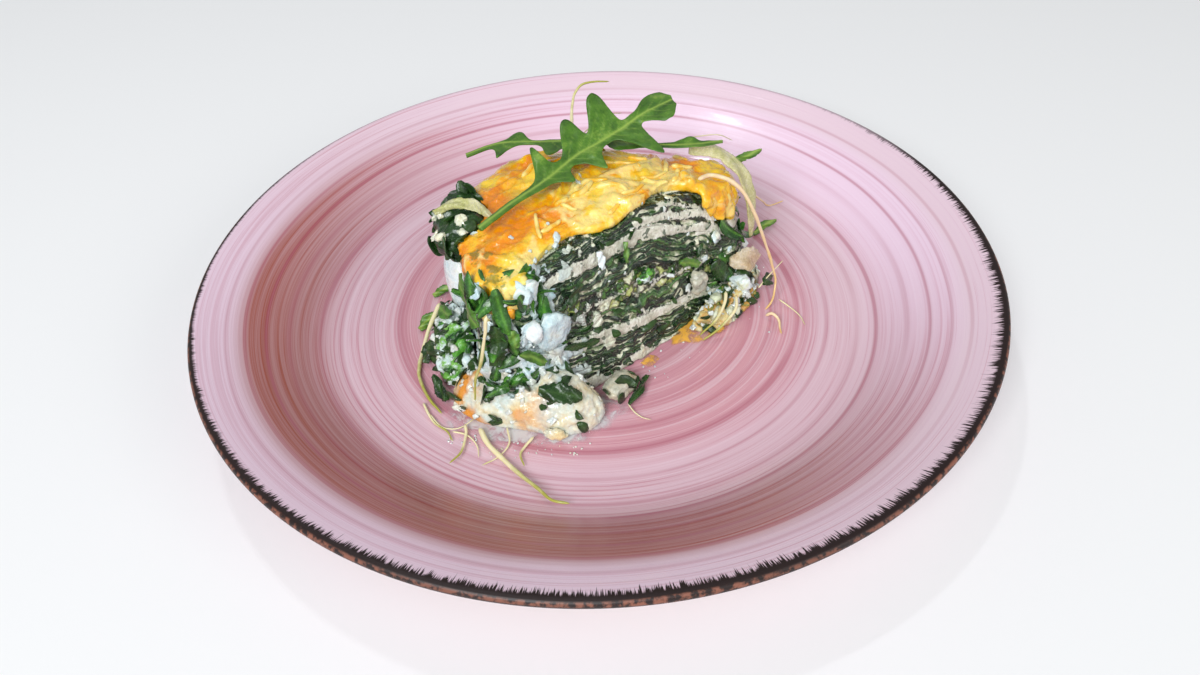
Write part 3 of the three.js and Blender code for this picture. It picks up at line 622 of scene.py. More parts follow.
@dataclass(frozen=True)
class LeafSkin(Finish):
    """A leaf: green blade, paler veins, and a darker mottled tone."""

    slot: str = "spinach"
    blade: Colour = srgb(78, 122, 30)
    dark: Colour = srgb(44, 86, 12)
    vein: Colour = srgb(142, 172, 70)
    gloss: float = 0.36

    def dress(self, g: Graph) -> None:
        """Wires the leaf.

        Args:
            g: Its graph.
        """
        vein = g.mask("vein")
        tone = g.noise(g.place, 7.0, 4.0, 0.6)
        pore = g.noise(g.place, 0.8, 2.0, 0.6)
        colour = g.ramp(tone * 0.8 + pore * 0.2, (0.34, self.dark), (0.56, self.blade), (0.76, self.vein))
        g.skin(g.blend(vein, colour, self.vein), self.gloss + 0.2 * pore, 0.12, 0.2)
        g.flesh(0.12, (0.4, 0.8, 0.15), 1.2)
        g.bump(pore * 0.5 + tone - vein * 0.6, 0.3, 0.8)


@dataclass(frozen=True)
class Stem(Finish):
    """A thin shoot: pale, wet, greener towards its bud."""

    slot: str = "shoot"
    pale: Colour = srgb(232, 222, 178)
    green: Colour = srgb(170, 168, 70)
    green_from: float = 0.5

    def dress(self, g: Graph) -> None:
        """Wires the shoot.

        Args:
            g: Its graph.
        """
        tone = g.noise(g.place, 3.0, 3.0)
        share = (g.mask("along") + (tone - 0.5) * 0.6).step(self.green_from - 0.2, self.green_from + 0.3)
        g.skin(g.blend(share, self.pale, self.green), 0.3 + 0.2 * tone, 0.25, 0.1)
        g.flesh(0.3, (0.8, 0.8, 0.4), 0.8)
        g.bump(tone, 0.15, 0.6)


@dataclass(frozen=True)
class Whey(Finish):
    """A thin cloudy film of whey round the food."""

    slot: str = "soft_cheese"
    milky: Colour = srgb(226, 230, 232)
    clear: Colour = srgb(214, 186, 196)
    cover: float = 0.6

    def dress(self, g: Graph) -> None:
        """Wires the film, clearer where it is thin and gone at its rim.

        Args:
            g: Its graph.
        """
        cloud = g.noise(g.place, 5.0, 4.0, 0.6, 0.5)
        g.skin(g.blend(cloud.step(0.4, 0.62), self.clear, self.milky), 0.08 + 0.1 * cloud)
        cover = (cloud.step(0.36, 0.6) * self.cover + 0.15 * self.cover).limited()
        g.set(Alpha=cover * g.mask("rim").step(0.0, 0.3))
        g.bump(cloud, 0.3, 0.6)


@dataclass(frozen=True)
class Tabletop(Finish):
    """The plain pale floor under the plate."""

    tone: Colour = (0.88, 0.88, 0.88)
    shade: Colour = (0.84, 0.84, 0.84)

    def dress(self, g: Graph) -> None:
        """Wires the floor."""
        g.skin(g.blend(g.noise(g.place, 40.0, 2.0) * 0.04, self.tone, self.shade), 0.6)


# Noise and shapes, in millimetres


@dataclass(frozen=True)
class Grain:
    """Repeatable noise on points in millimetres."""

    seed: int

    def _values(self, cell: Array, salt: int = 0) -> Array:
        """Repeatable values at whole-number cells.

        Args:
            cell: The cells.
            salt: Chooses one of several values per cell.

        Returns:
            Values, 0 to 1.
        """
        x, y, z = np.moveaxis(cell.astype(np.int64), -1, 0)
        mixed = x * 73856093 ^ y * 19349663 ^ z * 83492791 ^ (self.seed * 7919 + salt * 104729)
        mixed = (mixed ^ (mixed >> 13)) * 1274126177 & 0x7FFFFFFF
        mixed = (mixed ^ (mixed >> 15)) * 668265263 & 0x7FFFFFFF
        return ((mixed ^ (mixed >> 11)) & 0xFFFFF) / 0xFFFFF

    def smooth(self, points: Array, size: float) -> Array:
        """Smooth noise.

        Args:
            points: Points in millimetres.
            size: Size of its features.

        Returns:
            Values, -1 to 1.
        """
        spot = points / size + self.seed * 0.37
        base = np.floor(spot)
        part = spot - base
        ease = part * part * part * (part * (part * 6 - 15) + 10)
        total = np.zeros(len(points))
        for corner in range(8):
            offset = np.array([corner & 1, corner >> 1 & 1, corner >> 2 & 1])
            weight = np.prod(np.where(offset, ease, 1 - ease), axis=1)
            total += weight * self._values(base + offset)
        return total * 2 - 1

    def layered(self, points: Array, size: float, octaves: int = 3, rough: float = 0.5) -> Array:
        """Noise with finer octaves added.

        Args:
            points: Points in millimetres.
            size: Size of the largest features.
            octaves: Number of octaves.
            rough: Strength of each octave against the one before.

        Returns:
            Values of about -1 to 1.
        """
        total = np.zeros(len(points))
        reach = 0.0
        for octave in range(octaves):
            share = rough ** octave
            total += share * Grain(self.seed + octave * 31).smooth(points[:, [1, 2, 0]], size / 2 ** octave)
            reach += share
        return total / reach * 1.4

    def cells(self, points: Array, size: float) -> tuple[Array, Array, Array]:
        """Rounded cells.

        Args:
            points: Points in millimetres.
            size: Width of a cell.

        Returns:
            Distance to the nearest centre, distance to the next one, and a value per cell.
        """
        spot = points / size
        base = np.floor(spot)
        nearest, second = np.full(len(points), 9.0), np.full(len(points), 9.0)
        value = np.zeros(len(points))
        for i in range(27):
            cell = base + np.array([i % 3 - 1, i // 3 % 3 - 1, i // 9 - 1])
            jitter = np.stack([self._values(cell, salt) for salt in (1, 2, 3)], axis=1)
            distance = np.linalg.norm(cell + jitter - spot, axis=1)
            closer = distance < nearest
            second = np.where(closer, nearest, np.minimum(second, distance))
            value = np.where(closer, self._values(cell, 4), value)
            nearest = np.where(closer, distance, nearest)
        return nearest, second, value


def smoothstep(value: Array, low: float, high: float) -> Array:
    """A smooth step from 0 at low to 1 at high."""
    share = np.clip((value - low) / (high - low), 0, 1)
    return share * share * (3 - 2 * share)


def unit(vectors: Array) -> Array:
    """Vectors made one long."""
    return vectors / np.maximum(np.linalg.norm(vectors, axis=-1, keepdims=True), 1e-9)


def rotated(spots: Array, turn: float) -> Array:
    """Places in plan turned about the middle."""
    x, y = np.moveaxis(np.asarray(spots, dtype=float), -1, 0)
    return np.stack([x * math.cos(turn) - y * math.sin(turn),
                     x * math.sin(turn) + y * math.cos(turn)], axis=-1)


@dataclass
class Shape:
    """A mesh in millimetres, with values painted on its points."""

    points: Array
    faces: list
    masks: dict[str, Array] = field(default_factory=dict)

    def mesh(self, name: str) -> bpy.types.Mesh:
        """The shape as a Blender mesh in metres.

        Args:
            name: Name of the mesh.

        Returns:
            The new mesh, smooth.
        """
        mesh = bpy.data.meshes.new(name)
        mesh.from_pydata((self.points * MM).tolist(), [], self.faces)
        mesh.polygons.foreach_set("use_smooth", [True] * len(mesh.polygons))
        for key, values in self.masks.items():
            layer = mesh.attributes.new(key, "FLOAT", "POINT")
            layer.data.foreach_set("value", np.asarray(values, dtype=np.float32))
        mesh.update()
        return mesh

    def normals(self) -> Array:
        """Outward directions at the points.

        Returns:
            A direction for each point.
        """
        mesh = self.mesh("measure")
        values = np.empty(len(self.points) * 3)
        mesh.vertices.foreach_get("normal", values)
        bpy.data.meshes.remove(mesh)
        return values.reshape(-1, 3)

    def swollen(self, amount: Array) -> "Shape":
        """The shape with each point moved outward by its amount."""
        return Shape(self.points + self.normals() * np.asarray(amount)[:, None], self.faces, self.masks)

    def outward(self, away: Array) -> "Shape":
        """The shape with its faces turned so that they look the way of the given directions."""
        turned = np.einsum("ij,ij->", self.normals()[:len(away)], away) < 0
        return Shape(self.points, [face[::-1] for face in self.faces], self.masks) if turned else self


def joined_shapes(shapes: Sequence[Shape]) -> Shape:
    """Several shapes as one.

    Args:
        shapes: Shapes that carry the same masks.

    Returns:
        One shape with all their points and faces.
    """
    faces: list = []
    start = 0
    for shape in shapes:
        faces.extend([tuple(i + start for i in face) for face in shape.faces])
        start += len(shape.points)
    masks = {key: np.concatenate([s.masks[key] for s in shapes]) for key in shapes[0].masks}
    return Shape(np.concatenate([s.points for s in shapes]), faces, masks)


def rings_shape(rings: Array) -> Shape:
    """A closed skin through rings of equal count, whose first and last close on a middle point.

    Args:
        rings: Points as rows, columns, three.

    Returns:
        The shape, its faces turned outward for rings that run anticlockwise as they climb.
    """
    rows, count = rings.shape[:2]
    start = np.arange(rows - 1)[:, None] * count
    low = (start + np.arange(count)).ravel()
    turn = (start + (np.arange(count) + 1) % count).ravel()
    faces = np.stack([low, turn, turn + count, low + count], axis=1).tolist()
    points = np.concatenate([rings.reshape(-1, 3), [rings[0].mean(axis=0), rings[-1].mean(axis=0)]])
    bottom, top = rows * count, rows * count + 1
    last = (rows - 1) * count
    for i in range(count):
        after = (i + 1) % count
        faces.append([bottom, after, i])
        faces.append([top, last + i, last + after])
    return Shape(points, faces)


@dataclass
class Curve:
    """A smooth curve through given points, walked by its length."""

    through: Route
    samples: int = 400

    def __post_init__(self) -> None:
        """Samples the curve densely and measures it."""
        given = np.array(self.through, dtype=float)
        if len(given) == 2:
            given = np.array([given[0], given.mean(axis=0), given[1]])
        ends = np.concatenate([[2 * given[0] - given[1]], given, [2 * given[-1] - given[-2]]])
        knots = np.linspace(0, len(given) - 1, self.samples)
        index = np.minimum(knots.astype(int), len(given) - 2)
        share = (knots - index)[:, None]
        a, b, c, d = (ends[index + k] for k in range(4))
        gap_ab, gap_bc, gap_cd = (np.sqrt(np.linalg.norm(q - p, axis=1))[:, None] + 1e-9
                                  for p, q in ((a, b), (b, c), (c, d)))
        leave = ((b - a) / gap_ab - (c - a) / (gap_ab + gap_bc) + (c - b) / gap_bc) * gap_bc
        arrive = ((c - b) / gap_bc - (d - b) / (gap_bc + gap_cd) + (d - c) / gap_cd) * gap_bc
        cube = 2 * b - 2 * c + leave + arrive
        square = -3 * b + 3 * c - 2 * leave - arrive
        self.spots = ((cube * share + square) * share + leave) * share + b
        self.reach = np.concatenate([[0], np.cumsum(np.linalg.norm(np.diff(self.spots, axis=0), axis=1))])
        self.length = float(self.reach[-1])

    def at(self, shares: Array) -> Array:
        """Points at shares of the length."""
        where = np.clip(shares, 0, 1) * self.reach[-1]
        return np.stack([np.interp(where, self.reach, self.spots[:, k]) for k in range(3)], axis=1)

    def ahead(self, shares: Array) -> Array:
        """Directions along the curve at shares of the length."""
        return unit(self.at(np.clip(shares + 0.01, 0, 1)) - self.at(np.clip(shares - 0.01, 0, 1)))


def remeshed(node: str, voxel: float, smoothing: int = 2) -> Shape:
    """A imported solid's skin, made of even small faces.

    Args:
        node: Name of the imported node.
        voxel: Size of the faces in millimetres.
        smoothing: Rounds of smoothing of the facets.

    Returns:
        The new shape.
    """
    copy = bpy.data.objects.new("skin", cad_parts[node].data.copy())
    bpy.context.scene.collection.objects.link(copy)
    skin = copy.modifiers.new("skin", "REMESH")
    skin.mode = "VOXEL"
    skin.voxel_size = voxel * MM
    soften = copy.modifiers.new("soften", "SMOOTH")
    soften.iterations = smoothing
    soften.factor = 0.5
    mesh = bpy.data.meshes.new_from_object(copy.evaluated_get(bpy.context.evaluated_depsgraph_get()))
    points = np.empty(len(mesh.vertices) * 3)
    mesh.vertices.foreach_get("co", points)
    faces = [tuple(p.vertices) for p in mesh.polygons]
    bpy.data.objects.remove(copy)
    bpy.data.meshes.remove(mesh)
    return Shape(points.reshape(-1, 3) / MM, faces)


SHAPES: dict[str, Shape] = {}


def add_piece(name: str, shape: Shape, finish: Finish, node: str = "") -> None:
    """Puts a shape in the scene as a piece of the plate of food.

    Args:
        name: Name of the piece.
        shape: Its mesh, in millimetres.
        finish: Its finish.
        node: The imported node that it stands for; its shape is kept for the bits that lie on it.
    """
    piece = bpy.data.objects.new(name, shape.mesh(name))
    bpy.context.scene.collection.objects.link(piece)
    piece.data.materials.append(finish.material(name))
    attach(piece, "root")
    if node:
        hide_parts(node)
        SHAPES[node] = shape
    log.info("%s: %d points", name, len(shape.points))


@dataclass
class Piece:
    """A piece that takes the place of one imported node, with that node's form."""

    node: str
    finish: Finish
    ending: ClassVar[str] = "piece"

    def shape(self) -> Shape:
        """The piece's skin; each kind works its own."""
        raise NotImplementedError

    def build(self) -> None:
        """Builds and dresses the piece."""
        add_piece(f"{self.node}_{self.ending}", self.shape(), self.finish, self.node)


# The slice's form


def wobble(x: Array, y: Array, z: Array, seed: float) -> Array:
    """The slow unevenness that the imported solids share."""
    waves = ((0.31, 0.17, 0.23, 1.7), (-0.19, 0.37, 0.29, 2.9), (0.43, -0.41, 0.37, 4.3))
    return sum(np.sin(x * a + y * b + z * c + seed * d) for a, b, c, d in waves) / 3


@dataclass
class SliceForm:
    """The tall wedge: its outline at the base and top, and its layers' heights."""

    base_corners: tuple = ((-30, -66, 20), (58, 6, 10), (55, 29, 13), (-16, 38, 18), (-54, 8, 14))
    top_corners: tuple = ((-33, -54, 16), (46, 8, 9), (43, 20.5, 11), (-21, 22, 14), (-43, 2, 12))
    top_height: float = 52.0
    cut_start: tuple[float, float] = (-26.0, -64.0)
    interfaces: tuple = ((7.3, 7.3, 7.3), (12, 10.5, 9.5), (22.5, 17, 12.8), (26.5, 21, 16.4), (33, 29, 22.5),
                         (38, 36, 27.5), (47, 46, 36.5), (51, 50.5, 41), (54, 56.5, 51))

    def __post_init__(self) -> None:
        """Measures both outlines."""
        self.outlines = [self._outline(self.base_corners), self._outline(self.top_corners)]

    @staticmethod
    def _outline(corners: Route) -> tuple[Array, Array]:
        """A rounded outline.

        Args:
            corners: Place and rounding of each corner.

        Returns:
            Its points and their share of its length.
        """
        spots = []
        for i, (x, y, rounding) in enumerate(corners):
            corner = np.array([x, y], dtype=float)
            before = np.array(corners[i - 1][:2]) - corner
            after = np.array(corners[(i + 1) % len(corners)][:2]) - corner
            start = corner + before / np.linalg.norm(before) * rounding
            end = corner + after / np.linalg.norm(after) * rounding
            for share in np.linspace(0, 1, 40):
                spots.append((1 - share) ** 2 * start + 2 * share * (1 - share) * corner + share ** 2 * end)
        points = np.array([*spots, spots[0]])
        reach = np.concatenate([[0], np.cumsum(np.linalg.norm(np.diff(points, axis=0), axis=1))])
        return points, reach / reach[-1]

    def _flat(self, t: Array, z: Array) -> Array:
        """Outline points, before the unevenness.

        Args:
            t: Turns.
            z: Heights.

        Returns:
            The places in plan.
        """
        share = ((z - WELL_TOP) / (self.top_height - WELL_TOP))[..., None]
        low, high = (np.stack([np.interp(t % 1, reach, points[:, k]) for k in range(2)], axis=-1)
                     for points, reach in self.outlines)
        return low * (1 - share) + high * share

    def side(self, t: Array, z: Array, off: Array) -> Places:
        """Points on the slice's side.

        Args:
            t: Turn, once round from the front corner.
            z: Height.
            off: Distance outward.

        Returns:
            The points and the outward directions there.
        """
        t, z, off = np.broadcast_arrays(*(np.asarray(value, float) for value in (t, z, off)))
        here = self._flat(t, z)
        along = unit(self._flat(t + 0.004, z) - self._flat(t - 0.004, z))
        reach = off + 0.8 * wobble(here[..., 0], here[..., 1], 0.1 * z, 5)
        out = np.stack([along[..., 1], -along[..., 0], np.zeros_like(t)], axis=-1)
        spot = np.stack([here[..., 0], here[..., 1], z], axis=-1)
        return spot + out * reach[..., None], out

    def across(self, points: Array) -> tuple[Array, Array]:
        """Distances of points along the cut, from its front end, and in behind it."""
        dx, dy = points[..., 0] - self.cut_start[0], points[..., 1] - self.cut_start[1]
        return (dx * math.cos(CUT_HEADING) + dy * math.sin(CUT_HEADING),
                dy * math.cos(CUT_HEADING) - dx * math.sin(CUT_HEADING))

    def height(self, level: int, points: Array) -> Array:
        """Height of the interface below that layer.

        Args:
            level: Number of the interface, from the bottom up.
            points: Places, of which the first two numbers count.

        Returns:
            The heights.
        """
        along, into = self.across(points)
        low, middle, high = self.interfaces[level]
        first = np.clip((along - 18) / 42, 0, 1)
        last = np.clip((along - 60) / 30, 0, 1.25)
        near = low + (middle - low) * first * first * (1.5 - 0.5 * first)
        far = middle + (high - middle) * last * (0.5 + 0.5 * last)
        straight = np.where(along < 60, near, far)
        if level == 0:
            return straight
        x, y = points[..., 0], points[..., 1]
        return straight + 0.75 * wobble(x, y, 0 * x, level * 0.9) - 0.36 * level * smoothstep(into, 38, 78)

    def edge(self, level: int, t: Array) -> Array:
        """Where an interface meets the slice's side.

        Args:
            level: Number of the interface.
            t: Turns.

        Returns:
            The heights.
        """
        z = np.full_like(t, 30.0)
        for _ in range(4):
            z = self.height(level, self.side(t, z, 0)[0])
        return z


FORM = SliceForm()


# The plate


@dataclass
class Plate(Piece):
    """The dinner plate: foot ring, coupe well, curved wall and a rounded lip."""

    node: str = "plate"
    finish: Finish = Glaze()
    sides: int = 288
    inner: tuple = ((70, 7), (84, 7.3), (95.6, 9.6), (108, 17), (118, 22.6), (127, 26.2), (132.6, 28.3))
    lip: tuple = ((132.6, 28.3), (133.6, 28.4), (134.5, 28.0), (134.95, 27.1), (134.8, 26.2), (134.2, 25.4))
    outer: tuple = ((134.2, 25.4), (124, 18.6), (112, 11.76), (98, 4.2), (85.5, 2.4))
    foot: tuple = ((85.5, 2.4), (83.6, 1.4), (83.0, 0.25), (82.4, 0.0), (76.6, 0.0), (76.0, 0.25),
                   (74.8, 1.5), (73, 2.0), (40, 2.0), (12, 2.0))
    ending: ClassVar[str] = "glazed"

    def profile(self) -> Array:
        """The profile from under the middle, out over the foot and lip, and back to the well.

        Returns:
            Radius and height of its points.
        """
        stretches = [np.array(self.foot[::-1], dtype=float)]
        for part, count in ((self.outer, 40), (self.lip, 12), (self.inner, 70)):
            curve = Curve([(r, 0.0, z) for r, z in part])
            stretches.append(curve.at(np.linspace(0, 1, count))[::-1, [0, 2]][1:])
        well = np.stack([np.linspace(66, 6, 16), np.full(16, WELL_TOP)], axis=1)
        return np.concatenate([*stretches, well])

    def shape(self) -> Shape:
        """The profile turned round.

        Returns:
            The plate's skin.
        """
        turn = np.linspace(0, 2 * math.pi, self.sides, endpoint=False)
        profile = self.profile()
        radius = profile[:, :1]
        z = np.repeat(profile[:, 1:], self.sides, axis=1)
        return rings_shape(np.stack([radius * np.cos(turn), radius * np.sin(turn), z], axis=-1))


# The slice's layers


class Makeup(Enum):
    """What a layer of the slice is made of, by its slot in the record."""

    PASTA = "pasta"
    SPINACH = "spinach"
    FILLING = "filling"


@dataclass(frozen=True)
class CutFace:
    """Where pasta, leaf sheets, chopped bits and cheese lie on the outside of the slice."""

    layers: tuple[tuple[str, Makeup, int], ...] = (
        ("pasta_bottom", Makeup.PASTA, 2), ("spinach_low", Makeup.SPINACH, 4), ("pasta_low", Makeup.PASTA, 2),
        ("spinach_middle", Makeup.SPINACH, 2), ("vegetable_filling", Makeup.FILLING, 2),
        ("spinach_upper", Makeup.SPINACH, 4), ("pasta_high", Makeup.PASTA, 1),
        ("spinach_top", Makeup.SPINACH, 3))
    folds: tuple = (
        (1.25, ((60, 52.4), (69.7, 50.6), (78.8, 48), (87.7, 44.4), (91.2, 41), (89, 38.6), (84, 40))),
        (0.5, ((67.5, 54), (72, 53.6), (77.8, 51.8), (82, 49.6), (86, 46.8))),
        (0.45, ((30, 33.5), (38, 34.5), (46, 33), (52, 33.6))),
        (0.5, ((62, 29.5), (68, 30.5), (74, 28), (79, 27.6))))
    outside: float = -9.0
    grain: Grain = Grain(40)

    def _bands(self, points: Array, makeup: Makeup) -> Array:
        """Depth inside the layers of one makeup.

        Args:
            points: Points on the slice's outside.
            makeup: The makeup.

        Returns:
            Depths in millimetres, negative outside the layers.
        """
        best = np.full(len(points), self.outside)
        for level, (_, kind, _) in enumerate(self.layers):
            if kind is makeup:
                above = -self.outside if level == 0 else points[:, 2] - FORM.height(level, points)
                best = np.maximum(best, np.minimum(above, FORM.height(level + 1, points) - points[:, 2]))
        return best

    def _stack(self, points: Array) -> Array:
        """Sheets counted upward through the layers.

        Args:
            points: Points on the slice's outside.

        Returns:
            The counts, with their fractions.
        """
        total = np.zeros(len(points))
        for level, (_, _, sheets) in enumerate(self.layers):
            low, high = FORM.height(level, points), FORM.height(level + 1, points)
            total += sheets * np.clip((points[:, 2] - low) / np.maximum(high - low, 0.1), 0, 1)
        return total

    def _folded(self, along: Array, z: Array) -> Array:
        """Depth inside the pasta folded among the leaves.

        Args:
            along: Distances along the cut.
            z: Heights.

        Returns:
            Depths in millimetres, negative outside it.
        """
        best = np.full(len(along), self.outside)
        for half, route in self.folds:
            spots = Curve([(a, h, 0.0) for a, h in route]).at(np.linspace(0, 1, 60))
            distance = np.hypot(along[:, None] - spots[:, 0], z[:, None] - spots[:, 1]).min(axis=1)
            best = np.maximum(best, half - distance)
        return best

    def fields(self, points: Array) -> tuple[Array, dict[str, Array]]:
        """What lies at each point.

        Args:
            points: Points on the slice's outside.

        Returns:
            How far each point stands out, and its masks.
        """
        grain = self.grain
        along, into = FORM.across(points)
        wander = 0.9 * grain.layered(points, 14.0, 2) + 0.55 * grain.layered(points + 30, 4.5, 2)
        moved = points + np.array([0, 0, 1]) * wander[:, None]
        foot = 1 - smoothstep(points[:, 2], 11, 14)
        pinch = 0.25 + 0.6 * grain.layered(points + 70, 10.0, 2)
        pinch += 3.6 * foot * smoothstep(grain.layered(points + 20, 6.0, 2), -0.4, 0.1)
        band = self._bands(moved, Makeup.PASTA) - pinch
        band -= 2.2 * smoothstep(grain.layered(points + 110, 5.0, 2), 0.5, 0.85)
        band = np.maximum(band, np.where(into < 12, self._folded(along, moved[:, 2]), self.outside))
        chop = smoothstep(self._bands(moved, Makeup.FILLING) + 0.8 * grain.layered(points, 6.0, 2), -1.6, 0.4)
        stack = self._stack(moved) + 0.9 * grain.layered(points, 12.0, 2)
        stack += 0.5 * grain.layered(points, 5.0, 2)
        ridge = 1 - np.abs(2 * (stack - np.floor(stack)) - 1)
        which = Grain(19).smooth(np.stack([np.floor(stack), along / 14, 0 * stack], axis=1), 1.0)
        near = 1 - smoothstep(along, 22, 46)
        low = 1 - smoothstep(points[:, 2], 14, 30)
        curd = smoothstep(grain.layered(points + 90, 4.2, 3) + 0.6 * near + 0.15 * low, 0.6, 0.9)
        bent = points + 1.2 * grain.smooth(points, 4.0)[:, None]
        first, second, value = grain.cells(bent * np.array([1, 1, 1.4]), 3.6)
        chunk = 0.9 * smoothstep(second - first, 0.0, 0.35) - 0.5 + 0.5 * (value - 0.5)
        leafy = 0.7 * (ridge ** 0.7 - 0.55) + 0.45 * which + 0.5 * grain.layered(points, 3.2, 3)
        soft = smoothstep(band, -0.4, 0.5)
        flat = 0.4 + 0.35 * grain.layered(points, 6.0, 2) + 0.16 * grain.layered(points, 1.2, 2)
        amount = soft * flat + (1 - soft) * (chop * chunk + (1 - chop) * leafy) + 0.35 * curd - 0.15
        return amount, {"band": band, "chop": chop, "stack": stack, "curd": curd, "cool": near}


CUT_FACE = CutFace()


@dataclass
class Layer(Piece):
    """One layer of the slice, between two interfaces; the highest shows its top at the rim."""

    level: int
    columns: int = 760
    row_height: float = 0.45
    rim_step: float = 0.55
    rim_rows: int = 14
    inner_rings: tuple[float, ...] = (2.0, 8.0, 20.0)
    ending: ClassVar[str] = "cut"

    @staticmethod
    def _inset(ring: Array, distance: float, level: int) -> Array:
        """A ring drawn in by a distance, on its interface.

        Args:
            ring: Its points.
            distance: The distance.
            level: Number of the interface.

        Returns:
            The new ring's points.
        """
        centre = ring[:, :2].mean(axis=0)
        reach = np.linalg.norm(ring[:, :2] - centre, axis=1, keepdims=True)
        flat = centre + (ring[:, :2] - centre) * np.clip(1 - distance / reach, 0.05, 1)
        return np.concatenate([flat, FORM.height(level, flat)[:, None]], axis=1)

    def shape(self) -> Shape:
        """The layer's skin, its side worked by what lies there.

        Returns:
            The shape with its masks.
        """
        t = np.linspace(0, 1, self.columns, endpoint=False)
        above = self.level + 1
        open_top = above == len(CUT_FACE.layers)
        low, high = FORM.edge(self.level, t), FORM.edge(above, t)
        rows = int(max(7, np.mean(high - low) / self.row_height))
        z = low + (high - low) * np.linspace(0, 1, rows)[:, None]
        side, out = FORM.side(np.broadcast_to(t, z.shape), z, -0.1)
        rim = [self._inset(side[-1], (k + 1) * self.rim_step, above) for k in range(self.rim_rows * open_top)]
        under = [self._inset(side[0], distance, self.level) for distance in self.inner_rings[::-1]]
        over = [self._inset(side[-1], distance, above) for distance in self.inner_rings[open_top:]]
        worked = np.stack([*side, *rim])
        outward = np.concatenate([out, np.tile([0, 0, 1.0], (len(rim), self.columns, 1))])
        amount, masks = CUT_FACE.fields(worked.reshape(-1, 3))
        worked = worked + outward * amount.reshape(len(worked), self.columns, 1)
        shape = rings_shape(np.stack([*under, *worked, *over]))
        plain_ends = (len(under) * self.columns, len(over) * self.columns + 2)
        shape.masks = {key: np.pad(values, plain_ends) for key, values in masks.items()}
        return shape


# The melted cheese on top


@dataclass
class MeltedTopping(Piece):
    """The cheddar blanket: softened shreds sunk in it, blisters, and a dripping skirt."""

    node: str = "cheese_topping"
    finish: Finish = Cheddar()
    voxel: float = 0.75
    shreds: int = 125
    shred_radius: tuple[float, float] = (0.9, 1.9)
    corner: tuple[float, float, float] = (-36.0, -44.0, 50.0)
    creamy: tuple = ((66.0, 21.0, 25.0, 15.0), (21.0, 9.0, 14.0, 12.0))
    seed: int = 5
    ending: ClassVar[str] = "melted"

    def shape(self) -> Shape:
        """The blanket's skin with its sunken shreds.

        Returns:
            The shape, with masks for the pale shreds, the deep orange ones, the mixed front corner
            and the creamy zones.
        """
        shape = remeshed(self.node, self.voxel)
        points, normals = shape.points, shape.normals()
        grain = Grain(self.seed)
        raised, pale, orange = self._sunken(points)
        facing_up = smoothstep(normals[:, 2], -0.1, 0.5)
        blister, fine = grain.layered(points, 6.0, 3), grain.layered(points, 1.7, 2)
        amount = facing_up * (0.7 * raised - 0.2) + 0.8 * blister + 0.24 * fine
        amount = np.where(normals[:, 2] < -0.6, 0.0, amount)
        shape.points = points + normals * amount[:, None]
        away = np.linalg.norm(points - np.array(self.corner), axis=1)
        along, into = FORM.across(points)
        melt = np.max([1 - smoothstep(np.hypot((along - a) / wide, (into - b) / deep), 0.6, 1.3)
                       for a, b, wide, deep in self.creamy], axis=0)
        shape.masks = {"shred": pale * facing_up, "orange": orange * facing_up * (1 - 0.6 * melt),
                       "corner": 1 - smoothstep(away, 9.0, 26.0), "melt": melt}
        return shape

    def _sunken(self, points: Array) -> tuple[Array, Array, Array]:
        """What the sunken shreds give at each point.

        Args:
            points: Points of the blanket.

        Returns:
            Height, paleness and depth of orange.
        """
        rng = np.random.default_rng(self.seed)
        raised, pale, orange = (np.zeros(len(points)) for _ in range(3))
        flat = points[:, :2] + 1.1 * Grain(self.seed + 3).smooth(points, 5.0)[:, None]
        for _ in range(self.shreds):
            centre = TOP_MIDDLE + rotated((rng.uniform(-48, 48), rng.uniform(-26, 26)), CUT_HEADING)
            heading = CUT_HEADING + rng.normal(0.1, 0.6)
            half, radius = rng.uniform(2.5, 7), rng.uniform(*self.shred_radius)
            bend = rng.uniform(-0.05, 0.05)
            local = rotated(flat - centre, -heading)
            over = np.maximum(np.abs(local[:, 0]) - half, 0)
            beside = local[:, 1] - bend * (local[:, 0] ** 2)
            height = np.clip(1 - np.hypot(over, beside) / radius, 0, 1) ** 0.6 * rng.uniform(0.4, 1.0)
            raised = np.maximum(raised, height)
            if rng.random() < 0.55:
                pale = np.maximum(pale, height)
            else:
                orange = np.maximum(orange, height * (1 - pale) * rng.uniform(0.2, 1.0))
        return raised, pale, orange


# Shoots


@dataclass
class Shoot(Piece):
    """A long thin shoot, or any other tapering, slightly knotted tube."""

    radius: float
    points: Route
    sides: int = 10
    per_mm: float = 1.1
    taper: float = 0.55
    seed: int = 1
    ending: ClassVar[str] = "stem"

    def shape(self) -> Shape:
        """The shoot's tube.

        Returns:
            The shape, with a mask for its place along the shoot.
        """
        curve = Curve(self.points)
        s = np.linspace(0, 1, int(max(16, curve.length * self.per_mm)))
        centre, ahead = curve.at(s), curve.ahead(s)
        side = unit(np.cross(ahead, [0.13, 0.21, 0.97]))
        up = np.cross(side, ahead)
        grain = Grain(self.seed + 11)
        line = np.stack([s * curve.length, 0 * s, 0 * s], axis=1)
        knot = 1 + 0.14 * grain.layered(line, 5.0, 2)
        ends = np.sqrt(np.clip(np.minimum(s, 1 - s) * curve.length / (1.5 * self.radius), 0.02, 1))
        radius = self.radius * (1 - self.taper * s ** 1.5) * knot * ends
        centre = centre + 0.25 * self.radius * (side * grain.smooth(line, 3.0)[:, None])
        turn = np.linspace(0, 2 * math.pi, self.sides, endpoint=False)
        around = side[:, None] * np.cos(turn)[:, None] + up[:, None] * np.sin(turn)[:, None]
        shape = rings_shape(centre[:, None] + around * radius[:, None, None])
        shape.masks = {"along": np.append(np.repeat(s, self.sides), [0, 1])}
        return shape.outward(around.reshape(-1, 3))


